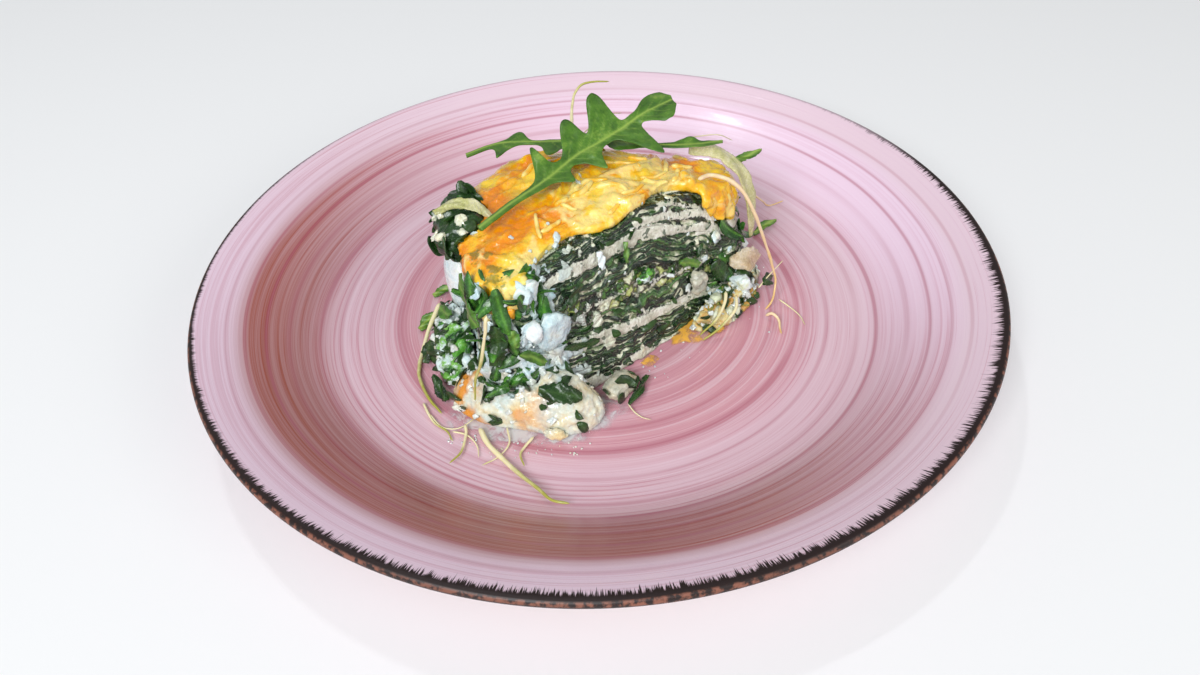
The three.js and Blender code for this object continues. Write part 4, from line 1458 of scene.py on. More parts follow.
@dataclass
class CheeseDrips:
    """Melted cheese run down the side below the blanket, by turn, top, foot, half-width and paleness."""

    runs: tuple = (
        (0.03, 53.0, 41.0, 1.7, 0.9), (0.047, 53.0, 44.0, 1.5, 0.1), (0.063, 54.0, 44.5, 2.2, 0.2),
        (0.084, 54.0, 47.5, 1.8, 0.7), (0.012, 53.0, 45.0, 1.8, 0.5), (0.362, 51.0, 42.5, 2.0, 0.3),
        (0.376, 51.0, 39.0, 2.6, 0.2), (0.392, 50.0, 36.0, 2.8, 0.5), (0.408, 50.0, 38.0, 2.4, 0.3),
        (0.425, 50.0, 41.0, 2.4, 0.8))

    def build(self) -> None:
        """Builds the runs as one piece."""
        shapes = []
        for k, (turn, top, foot, radius, pale) in enumerate(self.runs):
            turns = turn + 0.004 * np.sin(1.3 * k + np.arange(5))
            path, _ = FORM.side(turns, np.linspace(top, foot, 5), np.linspace(0.6, 0.1, 5))
            tube = Shoot("", Cheddar(), radius, path, sides=24, per_mm=2.4, taper=0.1, seed=k + 40).shape()
            shape = tube.swollen(0.5 * Grain(70).layered(tube.points, 2.6, 3))
            tone = np.ones(len(shape.points))
            shape.masks = {"shred": pale * tone, "orange": (1 - pale) * 0.5 * tone, "melt": pale * tone}
            shapes.append(shape)
        add_piece("cheese_drips", joined_shapes(shapes), Cheddar())


# Lumps and heaps


class Skin(Enum):
    """How the skin of a lump or heap is worked."""

    SMOOTH = "smooth"
    CRUMBLY = "crumbly"
    BROKEN = "broken"
    CRUMPLED = "crumpled"
    CHOPPED = "chopped"


@dataclass
class Lump(Piece):
    """A lump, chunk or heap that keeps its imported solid's place and form."""

    skin: Skin
    seed: int
    depth: float
    grit: float
    voxel: float = 0.6
    cuts: int = 9
    cut_depth: tuple[float, float] = (0.12, 0.36)

    def _hewn(self, points: Array) -> Array:
        """Points of a broken lump with flat sides cut on it.

        Args:
            points: Its points.

        Returns:
            The moved points.
        """
        rng = np.random.default_rng(self.seed)
        centre = points.mean(axis=0)
        spread = points - centre
        for heading in unit(rng.normal(size=(self.cuts, 3))):
            reach = spread @ heading
            limit = reach.max() * (1 - rng.uniform(*self.cut_depth))
            spread = spread - np.clip(reach - limit, 0, None)[:, None] * heading
        return spread + centre

    def shape(self) -> Shape:
        """The lump's worked skin, calmer where it lies on the plate.

        Returns:
            The shape, with the masks that its finish reads.
        """
        broken = self.skin is Skin.BROKEN
        shape = remeshed(self.node, self.voxel, 1 if broken else 2)
        if broken:
            shape.points = self._hewn(shape.points)
        points = shape.points
        grain = Grain(self.seed + 60)
        fine, swell = grain.layered(points, 1.3, 2), grain.layered(points, self.grit * 2, 2)
        if self.skin is Skin.CRUMPLED:
            fold = np.abs(grain.layered(points, self.grit * 1.8, 2, 0.45))
            amount = 0.8 - 2.2 * fold + 0.15 * fine
            shape.masks = {"vein": smoothstep(-fold, -0.06, 0.0) * 0.3}
        elif self.skin is Skin.CHOPPED:
            bent = points + 0.9 * grain.smooth(points, 3.5)[:, None]
            near, after, value = grain.cells(bent, self.grit)
            _, _, second = Grain(self.seed + 90).cells(bent, self.grit * 0.45)
            edge = smoothstep(after - near, 0.0, 0.3)
            amount = 1.5 * edge - 1.1 + 0.9 * (value - 0.5) + 0.5 * fine
            shape.masks = {"edge": edge, "tint": np.clip(0.85 * value + 0.15 * second, 0, 1)}
        elif self.skin is Skin.SMOOTH:
            amount = 0.8 * swell + 0.12 * fine
        else:
            crease = np.exp(-(grain.layered(points, self.grit, 3, 0.6) / 0.14) ** 2)
            bent = points + 0.8 * grain.smooth(points, 2.0)[:, None]
            _, _, level = grain.cells(bent, self.grit * 0.8)
            blocky = 0.35 if broken else 0.7
            amount = 0.5 * swell + blocky * (0.9 * (level - 0.5) - 0.7 * crease) + 0.35 * fine
        free = smoothstep(points[:, 2], 7.6, 9.0)
        return shape.swollen(self.depth * amount * (0.25 + 0.75 * free))


# Leaves and strips


@dataclass
class Leaf(Piece):
    """A thin leaf, ribbon or strip along its midrib."""

    path: Route
    normal: Union[Sequence[float], Profile]
    halves: tuple[Profile, Profile]
    lift: Callable[[Array, Array, Array], Array]
    thickness: float = 0.6
    steps: int = 48
    across: int = 10
    sweep: tuple[float, float] = (0.0, 0.0)
    crinkle: float = 0.25
    tear: float = 0.08
    rib: float = 0.35
    seed: int = 1
    vein_gap: float = 4.2
    ending: ClassVar[str] = "blade"

    def _half(self, s: Array, turn: int) -> Array:
        """Half-width to one side, its edge uneven.

        Args:
            s: Shares of the length.
            turn: 0 for the left side, 1 for the right.

        Returns:
            The half-widths.
        """
        seed = self.seed + turn
        line = np.stack([s / 0.06, s * 0, s * 0 + seed], axis=1)
        ragged = Grain(seed).layered(line, 1.0, 3)
        return np.clip(self.halves[turn](s), 0.05, None) * (1 + self.tear * ragged)

    def shape(self) -> Shape:
        """The leaf as a closed thin skin with a raised midrib, side veins and an uneven edge.

        Returns:
            The shape, with a mask for its veins.
        """
        curve = Curve(self.path)
        s = np.linspace(0, 1, self.steps)
        centre, ahead = curve.at(s), curve.ahead(s)
        up = self.normal(s) if callable(self.normal) else np.tile(self.normal, (len(s), 1)).astype(float)
        side = unit(np.cross(up, ahead))
        up = unit(np.cross(ahead, side))[:, None]
        grid_s, grid_w = np.meshgrid(s, 1 - 2 * np.arange(self.across + 1) / self.across, indexing="ij")
        half = np.where(grid_w > 0, self._half(s, 0)[:, None], self._half(s, 1)[:, None])
        reach = grid_w * half
        swept = np.where(grid_w > 0, *self.sweep) * np.abs(reach)
        middle = centre[:, None] + side[:, None] * reach[..., None] + ahead[:, None] * swept[..., None]
        along = grid_s * curve.length
        flat = np.stack([along, reach, 0 * reach], axis=-1).reshape(-1, 3)
        quilt = Grain(self.seed + 20).layered(flat, 3.2, 2).reshape(grid_s.shape)
        quilt = quilt * np.clip(np.abs(reach) / 2.5, 0, 1)
        middle = middle + up * (self.lift(grid_s, grid_w, reach) + self.crinkle * quilt)[..., None]
        rib = np.exp(-(reach / (0.55 + 0.5 * (1 - grid_s))) ** 2)
        thin = self.thickness / 2 * (0.35 + 0.65 * np.sqrt(np.clip(1 - grid_w ** 4, 0, 1)))
        above = middle + up * (thin + 0.4 * self.rib * rib)[..., None]
        below = middle - up * (thin + self.rib * rib * (1 - 0.6 * grid_s))[..., None]
        shape = rings_shape(np.concatenate([above, below[:, ::-1]], axis=1))
        vein = self._veins(along, reach, half)
        vein = np.concatenate([vein, vein[:, ::-1]], axis=1)
        shape.masks = {"vein": np.append(vein.ravel(), [0, 0])}
        return shape.outward(shape.points - shape.points.mean(axis=0))

    def _veins(self, along: Array, reach: Array, half: Array) -> Array:
        """How much each point belongs to a vein.

        Args:
            along: Distances along the midrib.
            reach: Distances from the midrib.
            half: The leaf's half-widths.

        Returns:
            Shares, 0 to 1.
        """
        midrib = np.exp(-(reach / 0.5) ** 2)
        slant = (along - 0.9 * np.abs(reach)) / self.vein_gap + 0.4 * (reach > 0)
        line = np.abs(slant - np.round(slant)) * self.vein_gap
        fade = np.clip(1 - np.abs(reach) / np.maximum(half, 0.1), 0, 1)
        return np.clip(midrib + 0.5 * np.exp(-(line / 0.28) ** 2) * fade * np.clip(half / 3, 0, 1), 0, 1)


def lobed(stem: float, blade: float, lobes: Route) -> Profile:
    """Half-width of a lobed blade.

    Args:
        stem: Half-width at the stem.
        blade: Half-width of the blade between lobes.
        lobes: Place, reach and width of each lobe, and its bluntness where it isn't 2.

    Returns:
        The half-width by share of the length.
    """
    def half(s: Array) -> Array:
        """Half-width along the blade.

        Args:
            s: Shares of the length.

        Returns:
            The half-widths.
        """
        base = (stem + (blade - stem) * smoothstep(s, 0.2, 0.34)) * (1 - 0.55 * smoothstep(s, 0.93, 1))
        for place, reach, width, *blunt in lobes:
            base = base + reach * np.exp(-(np.abs((s - place) / width) ** (blunt[0] if blunt else 2)))
        return base
    return half


def side_leaf(node: str, finish: Finish, route: Route, width: float, seed: int) -> Leaf:
    """A leaf or strip that lies on the slice's side.

    Args:
        node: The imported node.
        finish: Its finish.
        route: Turn, height and distance outward of each point of its midrib.
        width: Its full width.
        seed: Start of its random numbers.

    Returns:
        The leaf.
    """
    turn, z, off = np.array(route, dtype=float).T
    shares = np.linspace(0, 1, len(turn))

    def half(s: Array) -> Array:
        """Half-width along the strip."""
        return width * (0.22 + 0.78 * np.sin(np.pi * np.clip(0.08 + 0.86 * s, 0, 1)) ** 0.6) / 2

    path, _ = FORM.side(turn, z, off)
    return Leaf(node, finish, path, lambda s: FORM.side(np.interp(s, shares, turn), 30.0, 0)[1],
                (half, half), lambda s, w, reach: 0.35 * (1 + np.sin(11 * s + 2 * w)), crinkle=0.6,
                tear=0.25, rib=0.1, seed=seed)


def free_leaf(node: str, finish: Finish, points: Route, width: float, normal: Sequence[float],
              thickness: float, seed: int) -> Leaf:
    """A free strip.

    Args:
        node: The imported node.
        finish: Its finish.
        points: The curve of its midrib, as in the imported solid.
        width: Its full width.
        normal: The way its flat side faces.
        thickness: Its thickness.
        seed: Start of its random numbers.

    Returns:
        The strip.
    """
    def half(s: Array) -> Array:
        """Half-width along the strip."""
        return width / 2 * (0.25 + 0.75 * np.sin(np.pi * np.clip(0.06 + 0.88 * s, 0, 1)))

    return Leaf(node, finish, points, normal, (half, half), lambda s, w, reach: 0.5 * np.sin(9 * s + 3 * w),
                thickness, crinkle=0.45, tear=0.2, rib=0.15, seed=seed)


# Loose bits


Keep = Callable[[Array, Array], Array]


def together(found: Iterable[Places]) -> Places:
    """Several sets of places as one."""
    return tuple(np.concatenate(part) for part in zip(*found))


@dataclass
class Bits:
    """Scattered bits of one kind, joined into one mesh; squarer where blocky is below 1."""

    seed: int
    level: int = 2
    lumpy: float = 0.25
    stretch: tuple[float, float, float] = (1.0, 0.8, 0.6)
    bend: float = 0.0
    blocky: float = 1.0
    tilt: float = 0.9

    def __post_init__(self) -> None:
        """Starts the random numbers and shapes the bit's plain form from a ball."""
        self.rng = np.random.default_rng(self.seed)
        ball = bmesh.new()
        bmesh.ops.create_icosphere(ball, subdivisions=self.level, radius=1.0)
        ball.verts.ensure_lookup_table()
        points = np.array([v.co[:] for v in ball.verts])
        self.form = np.sign(points) * np.abs(points) ** self.blocky
        self.faces = np.array([[v.index for v in f.verts] for f in ball.faces])
        ball.free()

    def places(self, keep: Keep, counts: dict[str, int]) -> Places:
        """Places on the pieces of several nodes, spread evenly over the part that is wanted.

        Args:
            keep: Chooses points by their place and outward direction.
            counts: How many places on each node's piece.

        Returns:
            The places and the outward directions there.
        """
        found = []
        for node, count in counts.items():
            points, normals = SHAPES[node].points, SHAPES[node].normals()
            chosen = np.flatnonzero(keep(points, normals))
            if len(chosen):
                picks = self.rng.choice(chosen, size=count, replace=len(chosen) < count)
                found.append((points[picks], normals[picks]))
        return together(found)

    def made(self, places: Places, sizes: Array, lift: float = 0.0, heading: Optional[Array] = None) -> Shape:
        """The bits as one shape.

        Args:
            places: Where they lie and the directions that they stand on.
            sizes: Their half-lengths.
            lift: How far they stand off.
            heading: The direction along which they lie; random where None.

        Returns:
            The joined shape, with a mask for their middle line.
        """
        spots, normals = places
        count, width = len(spots), len(self.form)
        random = unit(self.rng.normal(size=(count, 3)))
        up = unit(normals + self.tilt * random)
        along = unit(self.rng.normal(size=(count, 3))) if heading is None else unit(heading + 0.35 * random)
        side = unit(np.cross(up, along))
        along = np.cross(side, up)
        jitter = self.rng.uniform(0.7, 1.3, size=(count, 3))
        sizes = np.asarray(sizes)[:, None]
        local = self.form[None] * (np.asarray(self.stretch) * jitter * sizes)[:, None]
        keys = (self.form[None] * 1.3 + self.rng.uniform(0, 90, size=(count, 1, 3))).reshape(-1, 3)
        local = local * (1 + self.lumpy * Grain(self.seed).layered(keys, 1.0, 2).reshape(count, -1, 1))
        curl = self.bend * self.rng.uniform(-1, 1, size=(count, 1)) / sizes
        local[..., 2] += curl * local[..., 0] ** 2 + 0.6 * curl[::-1] * local[..., 1] * local[..., 0]
        turned = np.einsum("nij,njk->nik", local, np.stack([along, side, up], axis=1))
        points = turned + (spots + normals * lift)[:, None]
        faces = (self.faces + (np.arange(count) * width)[:, None, None]).reshape(-1, 3).tolist()
        line = np.exp(-np.abs(np.tile(self.form[:, 1], count)) * 6)
        return Shape(points.reshape(-1, 3), faces, {"vein": line * 0.5})


@dataclass
class ToppingShreds:
    """Shreds of cheese that kept their shape on the blanket and at its edge."""

    count: int = 34
    seed: int = 77

    def build(self) -> None:
        """Lays the shreds on the topping."""
        rng = np.random.default_rng(self.seed)
        top = SHAPES["cheese_topping"]
        tree = BVHTree.FromPolygons([tuple(p) for p in top.points], top.faces)
        shapes = []
        for k in range(self.count):
            centre = TOP_MIDDLE + rotated((rng.uniform(-40, 44), rng.uniform(-25, 22)), CUT_HEADING)
            heading = CUT_HEADING + rng.normal(0.1, 0.8)
            half, bend = rng.uniform(2.2, 6.0), rng.uniform(-0.08, 0.08)
            path = []
            for x in np.linspace(-half, half, 5):
                flat = centre + rotated((x, bend * x * x), heading)
                hit = tree.ray_cast(Vector((*flat, 90.0)), Vector((0, 0, -1)))
                if hit[0] is not None and hit[1].z > 0.35:
                    path.append([*flat, hit[0].z + 0.25])
            if len(path) >= 4:
                radius = rng.uniform(0.7, 1.1)
                shred = Shoot("", Shred(), radius, path, sides=8, per_mm=1.6, taper=0.2, seed=k)
                shapes.append(shred.shape())
        add_piece("cheese_shreds", joined_shapes(shapes), Shred())


@dataclass
class ThinShoots:
    """Hair-thin shoots and roots beside the larger ones, by radius and route."""

    routes: tuple = (
        (0.28, ((64, -6, 9), (67, -9, 8.2), (70, -14, 8), (71, -19, 7.9))),
        (0.3, ((57, -3, 12), (60, 0, 13.5), (64, 4, 15), (67, 6, 17))),
        (0.25, ((8, -52, 8.6), (10, -55.5, 8), (12.5, -58, 7.9), (15, -59, 7.9))),
        (0.3, ((-47, -60, 8), (-42, -62, 8), (-39, -66, 7.8), (-38, -71, 7.9))),
        (0.26, ((-55, -52, 7.9), (-50, -58, 7.8), (-45, -59, 8.2), (-40, -57, 10))),
        (0.34, ((-30, -60, 9), (-29, -66, 8.2), (-32, -71, 7.9), (-37, -74, 7.8))),
        (0.3, ((-5, 19, 60.5), (-1, 28, 60), (3, 37, 57), (8, 42, 58), (12, 46, 56))),
        (0.28, ((29, 19, 59), (33, 28, 55), (39, 36, 51), (46, 38, 50), (52, 42, 45))),
        (0.45, ((46, 23, 37), (49, 29, 35), (52, 34, 32), (54, 36, 29.6))))

    def build(self) -> None:
        """Builds the shoots as one piece."""
        look = Stem(green_from=0.9)
        shapes = [Shoot("", look, *route, sides=6, taper=0.5, seed=k).shape()
                  for k, route in enumerate(self.routes, start=5)]
        add_piece("thin_shoots", joined_shapes(shapes), look)


def outer(points: Array, normals: Array) -> Array:
    """Whether points face outward or up, off the plate."""
    return (normals[:, 2] > -0.4) & (points[:, 2] > 8.2)


def upright(points: Array, normals: Array) -> Array:
    """Whether points lie on upright surfaces."""
    return np.abs(normals[:, 2]) < 0.6


def at_front(points: Array, normals: Array) -> Array:
    """Whether points lie on the front corner's side, above the spill."""
    along, into = FORM.across(points)
    return ((along < 24) & (into < 22) & (points[:, 2] > 17) & (points[:, 2] < 54)
            & (normals[:, 2] > -0.3) & (normals[:, 1] < 0.35))


def at_far_end(points: Array, normals: Array) -> Array:
    """Whether points lie on the far end's side, below the topping."""
    along, into = FORM.across(points)
    return (along > 86) & (into < 26) & (points[:, 2] > 13) & (points[:, 2] < 46) & (normals[:, 2] > -0.4)


def at_brink(points: Array, normals: Array) -> Array:
    """Whether points lie on the topping's edge over the cut.

    Args:
        points: Points of the topping.
        normals: The outward directions there.

    Returns:
        True where they do.
    """
    along, _ = FORM.across(points)
    outward = normals[:, 0] * math.sin(CUT_HEADING) - normals[:, 1] * math.cos(CUT_HEADING)
    return (along > 14) & (along < 66) & (outward > 0.45) & (normals[:, 2] > -0.2)


@dataclass
class LooseBits:
    """Curds, leaf flakes, leaf pieces and crumbs on the slice and round its foot."""

    sides: tuple = ("spinach_low", "spinach_middle", "vegetable_filling", "spinach_upper", "spinach_top")
    heaps: tuple = ("spilled_filling_left", "spilled_cheese_front", "spilled_spinach_right")
    brink_curds: int = 18
    crumb_count: int = 150
    front_crumbs: int = 90

    def _layers(self, count: int) -> dict[str, int]:
        """So many bits on each layer that shows at the slice's ends."""
        return dict.fromkeys((*self.sides, "pasta_high", "pasta_low"), count)

    def _curds(self) -> None:
        """Cream-white curds on the cut spinach and in the heaps."""
        bits = Bits(3, 3, 0.5, blocky=0.6)
        cut = bits.places(upright, dict.fromkeys(self.sides, 20))
        heaps = bits.places(outer, dict.fromkeys(self.heaps, 60))
        sizes = np.concatenate([bits.rng.gamma(3.0, 0.13, len(cut[0])) + 0.2,
                                bits.rng.gamma(3.0, 0.2, len(heaps[0])) + 0.3])
        shape = bits.made(together([cut, heaps]), np.clip(sizes, 0.2, 1.5), 0.1)
        add_piece("curds", shape, SoftCheese(cool=srgb(214, 222, 210)))

    def _flakes(self) -> None:
        """Dark leaf flakes on the heaps, the cut and the pasta."""
        bits = Bits(8, 2, 0.2, (1.0, 0.5, 0.1), 0.35)
        cut = bits.places(upright, {**dict.fromkeys(self.sides, 26), "pasta_high": 8, "pasta_low": 10})
        heading = np.array([math.cos(CUT_HEADING), math.sin(CUT_HEADING), -0.1])
        on_cut = bits.made(cut, bits.rng.uniform(1.2, 3.0, len(cut[0])), 0.15, heading)
        bits = Bits(9, 2, 0.25, (1.0, 0.6, 0.12), 0.4)
        counts = dict(zip(self.heaps, (46, 34, 16)), spinach_bunch_left=24, onion_piece_front=7)
        heaps = bits.places(outer, counts)
        on_heaps = bits.made(heaps, bits.rng.uniform(1.6, 4.2, len(heaps[0])), 0.3)
        dark = LeafSkin(blade=srgb(40, 74, 26), dark=srgb(10, 28, 12), vein=srgb(60, 92, 40), gloss=0.2)
        add_piece("spinach_flakes", joined_shapes([on_cut, on_heaps]), dark)

    def _ends(self) -> None:
        """Leaf pieces and curds over the slice's two ends, and curds at the topping's edge."""
        bits = Bits(21, 3, 0.28, (1.0, 0.4, 0.09), 0.8, tilt=0.6)
        places = together([bits.places(at_front, {**self._layers(7), "cheese_topping": 7}),
                           bits.places(at_far_end, self._layers(3))])
        shape = bits.made(places, bits.rng.uniform(2.2, 7.0, len(places[0])), 0.8)
        fresh = LeafSkin(blade=srgb(46, 100, 34), dark=srgb(6, 30, 16), vein=srgb(116, 184, 62), gloss=0.16)
        add_piece("end_leaves", shape, fresh)
        bits = Bits(22, 3, 0.5, (1.0, 0.8, 0.42), blocky=0.6, tilt=0.5)
        places = together([bits.places(at_front, {**self._layers(15), "cheese_topping": 15}),
                           bits.places(at_far_end, self._layers(5)),
                           bits.places(at_brink, {"cheese_topping": self.brink_curds})])
        sizes = np.clip(bits.rng.gamma(2.6, 0.5, len(places[0])), 0.4, 2.8)
        sizes[-self.brink_curds:] *= 0.6
        add_piece("end_curds", bits.made(places, sizes, 0.2), BLOCK)

    def _smears(self) -> None:
        """Smears of soft cheese at the front corner, and curds on the left bunch."""
        bits = Bits(24, 4, 0.9, (1.0, 0.75, 0.2), blocky=0.75, tilt=0.15)
        places = FORM.side(np.array([0.082, 0.1, 0.112, 0.066, 0.094]), np.array([38, 33, 26, 30, 25]), 0.5)
        add_piece("cheese_smears", bits.made(places, np.array([4.5, 6.0, 5.0, 4.0, 4.2])), BLOCK)
        bits = Bits(23, 3, 0.5, blocky=0.7)
        places = bits.places(lambda p, n: (n[:, 1] < 0.0) & (n[:, 2] > 0.1), {"spinach_bunch_left": 6})
        shape = bits.made(places, bits.rng.uniform(1.0, 2.5, len(places[0])), 0.2)
        add_piece("bunch_curds", shape, SoftCheese(white=srgb(236, 236, 208), cool=srgb(214, 224, 206)))

    def _crumbs(self) -> None:
        """Crumbs of cheese on the plate, thickest at the slice's foot."""
        bits = Bits(15, 1, 0.3)
        turn = bits.rng.uniform(0, 1, self.crumb_count)
        spots, _ = FORM.side(turn, WELL_TOP, bits.rng.gamma(1.3, 4.0, self.crumb_count) + 1.0)
        front = bits.rng.uniform(size=(self.front_crumbs, 2)) * np.array([46, 10]) + np.array([-50, -71])
        spots = np.concatenate([spots, np.pad(front, ((0, 0), (0, 1)))])
        spots = spots[np.hypot(spots[:, 0], spots[:, 1]) < 80]
        sizes = bits.rng.gamma(2.0, 0.1, len(spots)) + 0.14
        spots[:, 2] = WELL_TOP + sizes * 0.4
        add_piece("crumbs", bits.made((spots, np.tile([0, 0, 1.0], (len(spots), 1))), sizes), SoftCheese())

    def build(self) -> None:
        """Builds every kind of bit."""
        for kind in (self._curds, self._flakes, self._ends, self._smears, self._crumbs):
            kind()


@dataclass
class Film:
    """A thin film lying on the plate, thickest in its middle."""

    name: str
    finish: Finish
    outline: Route
    thickness: float = 0.5
    seed: int = 2
    points: int = 160
    lift: float = 0.03
    under: float = 0.01
    shares: tuple[float, ...] = (1.0, 0.985, 0.95, 0.88, 0.75, 0.6, 0.4, 0.2)

    def build(self) -> None:
        """Builds and dresses the film."""
        curve = Curve([(x, y, 0.0) for x, y in (*self.outline, self.outline[0])])
        edge = curve.at(np.linspace(0, 1, self.points, endpoint=False))[:, :2]
        turn = np.linspace(0, 2 * math.pi, self.points, endpoint=False)
        circle = np.stack([np.cos(turn) * 3, np.sin(turn) * 3, turn * 0 + self.seed], axis=1)
        centre = edge.mean(axis=0)
        edge = centre + (edge - centre) * (1 + 0.1 * Grain(self.seed).layered(circle, 0.7, 3))[:, None]
        shares = np.array((1.0, *self.shares))
        rise = self.lift + self.thickness * np.sqrt(1 - shares ** 2) * 0.8
        rise[0] = self.under
        flat = centre + (edge - centre) * shares[:, None, None]
        height = np.broadcast_to((WELL_TOP + rise)[:, None, None], (*flat.shape[:2], 1))
        shape = rings_shape(np.concatenate([flat, height], axis=2))
        rim = np.repeat((1 - shares) * 2, self.points)
        shape.masks = {"rim": np.append(rim, [0, 1])}
        add_piece(self.name, shape, self.finish)


# Camera, light and floor


@dataclass
class Studio:
    """A pale floor, a large window light from the front left, and the photograph's viewpoint."""

    eye_mm: tuple[float, float, float] = (0.3, -251.4, 222.4)
    tilt_deg: float = 42.86
    roll_deg: float = -2.74
    focal_mm: float = 27.6
    floor_half: float = 3.0
    lamps: tuple = (
        ("window", (-0.75, -1.75, 1.6), (1.2, 1.0), 53.5, (0.95, 0.98, 1.0)),
        ("skylight", (-0.21, 0.29, 1.0), (0.08, 0.04), 1.0, (0.92, 0.95, 1.0)),
        ("fill", (1.3, -1.1, 0.9), (1.0, 0.8), 8.0, (1.0, 0.98, 0.95)))
    aim: tuple[float, float, float] = (0, 0, 0.03)
    surroundings: Colour = (0.97, 0.98, 1.0)
    surroundings_strength: float = 0.36

    def camera(self) -> None:
        """Places the camera at the photograph's viewing angle."""
        lens = bpy.data.cameras.new("viewpoint")
        lens.lens = self.focal_mm
        lens.sensor_width = 36.0
        lens.clip_start = 0.01
        view = bpy.data.objects.new("viewpoint", lens)
        tilt = Matrix.Rotation(math.radians(90 - self.tilt_deg), 4, "X")
        roll = Matrix.Rotation(math.radians(self.roll_deg), 4, "Z")
        view.matrix_world = Matrix.Translation(Vector(self.eye_mm) * MM) @ tilt @ roll
        bpy.context.scene.collection.objects.link(view)
        bpy.context.scene.camera = view

    def lights(self) -> None:
        """Sets soft lights that face the food, by place, size, power and tone, and the pale surroundings."""
        for name, place, size, watts, tone in self.lamps:
            light = bpy.data.lights.new(name, "AREA")
            light.shape = "RECTANGLE"
            light.size, light.size_y = size
            light.energy = watts
            light.color = tone
            lamp = bpy.data.objects.new(name, light)
            lamp.location = place
            lamp.rotation_euler = (Vector(self.aim) - Vector(place)).to_track_quat("-Z", "Y").to_euler()
            bpy.context.scene.collection.objects.link(lamp)
        world = bpy.data.worlds.new("surroundings")
        world.use_nodes = True
        background = world.node_tree.nodes["Background"]
        background.inputs["Color"].default_value = (*self.surroundings, 1.0)
        background.inputs["Strength"].default_value = self.surroundings_strength
        bpy.context.scene.world = world

    def floor(self) -> None:
        """Lays the pale floor."""
        far = self.floor_half
        mesh = bpy.data.meshes.new("pale_floor")
        mesh.from_pydata([(-far, -far, 0), (far, -far, 0), (far, far, 0), (-far, far, 0)], [], [(0, 1, 2, 3)])
        mesh.materials.append(Tabletop().material("pale_floor"))
        ground = bpy.data.objects.new("pale_floor", mesh)
        bpy.context.scene.collection.objects.link(ground)

    def build(self) -> None:
        """Builds the camera, the lights and the floor, and shows colours as they are."""
        self.camera()
        self.lights()
        self.floor()
        bpy.context.scene.view_settings.view_transform = "Standard"


# The whole


DARK_LEAF = LeafSkin(blade=srgb(34, 66, 24), dark=srgb(10, 28, 14), vein=srgb(54, 86, 36), gloss=0.18)
GREEN_LEAF = LeafSkin("rocket", srgb(82, 132, 44), srgb(38, 80, 22), srgb(118, 156, 66), 0.24)
ROCKET = LeafSkin("rocket")
WHITE = SoftCheese(white=srgb(240, 250, 248), cool=srgb(214, 240, 242), cream=srgb(240, 244, 230))
SPILL = SoftCheese(white=srgb(222, 226, 208), cool=srgb(190, 212, 212), cream=srgb(228, 208, 156),
                   amber_share=0.2)
BLOCK = SoftCheese(white=srgb(214, 234, 234), cool=srgb(182, 212, 220), cream=srgb(230, 234, 214))

SIDE_LEAVES = (
    ("leaf_ribbon_front", GREEN_LEAF, ((0.008, 55, 4.2), (0.018, 49, 4), (0.031, 42, 4)), 7),
    ("spinach_leaf_corner", DARK_LEAF, ((0.048, 45, 4.2), (0.047, 39, 3.4), (0.044, 32, 4.4)), 5.5),
    ("spinach_leaf_face", DARK_LEAF, ((0.152, 45.5, 1.7), (0.141, 43, 1.6), (0.132, 38.5, 1.6)), 4),
    ("green_slice_corner", GREEN_LEAF, ((0.058, 43.5, 4), (0.06, 37, 3)), 3.4),
    ("green_slice_low", GREEN_LEAF, ((0.063, 34, 2), (0.075, 31.4, 2), (0.086, 28, 2.4)), 3.6),
    ("spinach_leaf_middle", DARK_LEAF, ((0.114, 28, 1.8), (0.138, 25.5, 1.6), (0.158, 24.5, 1.8)), 2.8),
    ("spinach_leaf_right", DARK_LEAF, ((0.338, 27, 1.8), (0.344, 22, 2.2), (0.348, 18.5, 2.6)), 6),
    ("cheese_shred_face", WHITE, ((0.187, 51.5, 1.6), (0.188, 45, 1.5)), 2.6),
    ("leaf_strip_face", replace(GREEN_LEAF, slot="shoot"), ((0.225, 50.5, 1.7), (0.22, 43.5, 1.6)), 2),
    ("green_leaf_right", GREEN_LEAF, ((0.292, 34, 1.5), (0.308, 31, 1.5), (0.318, 29, 1.6)), 3.2))

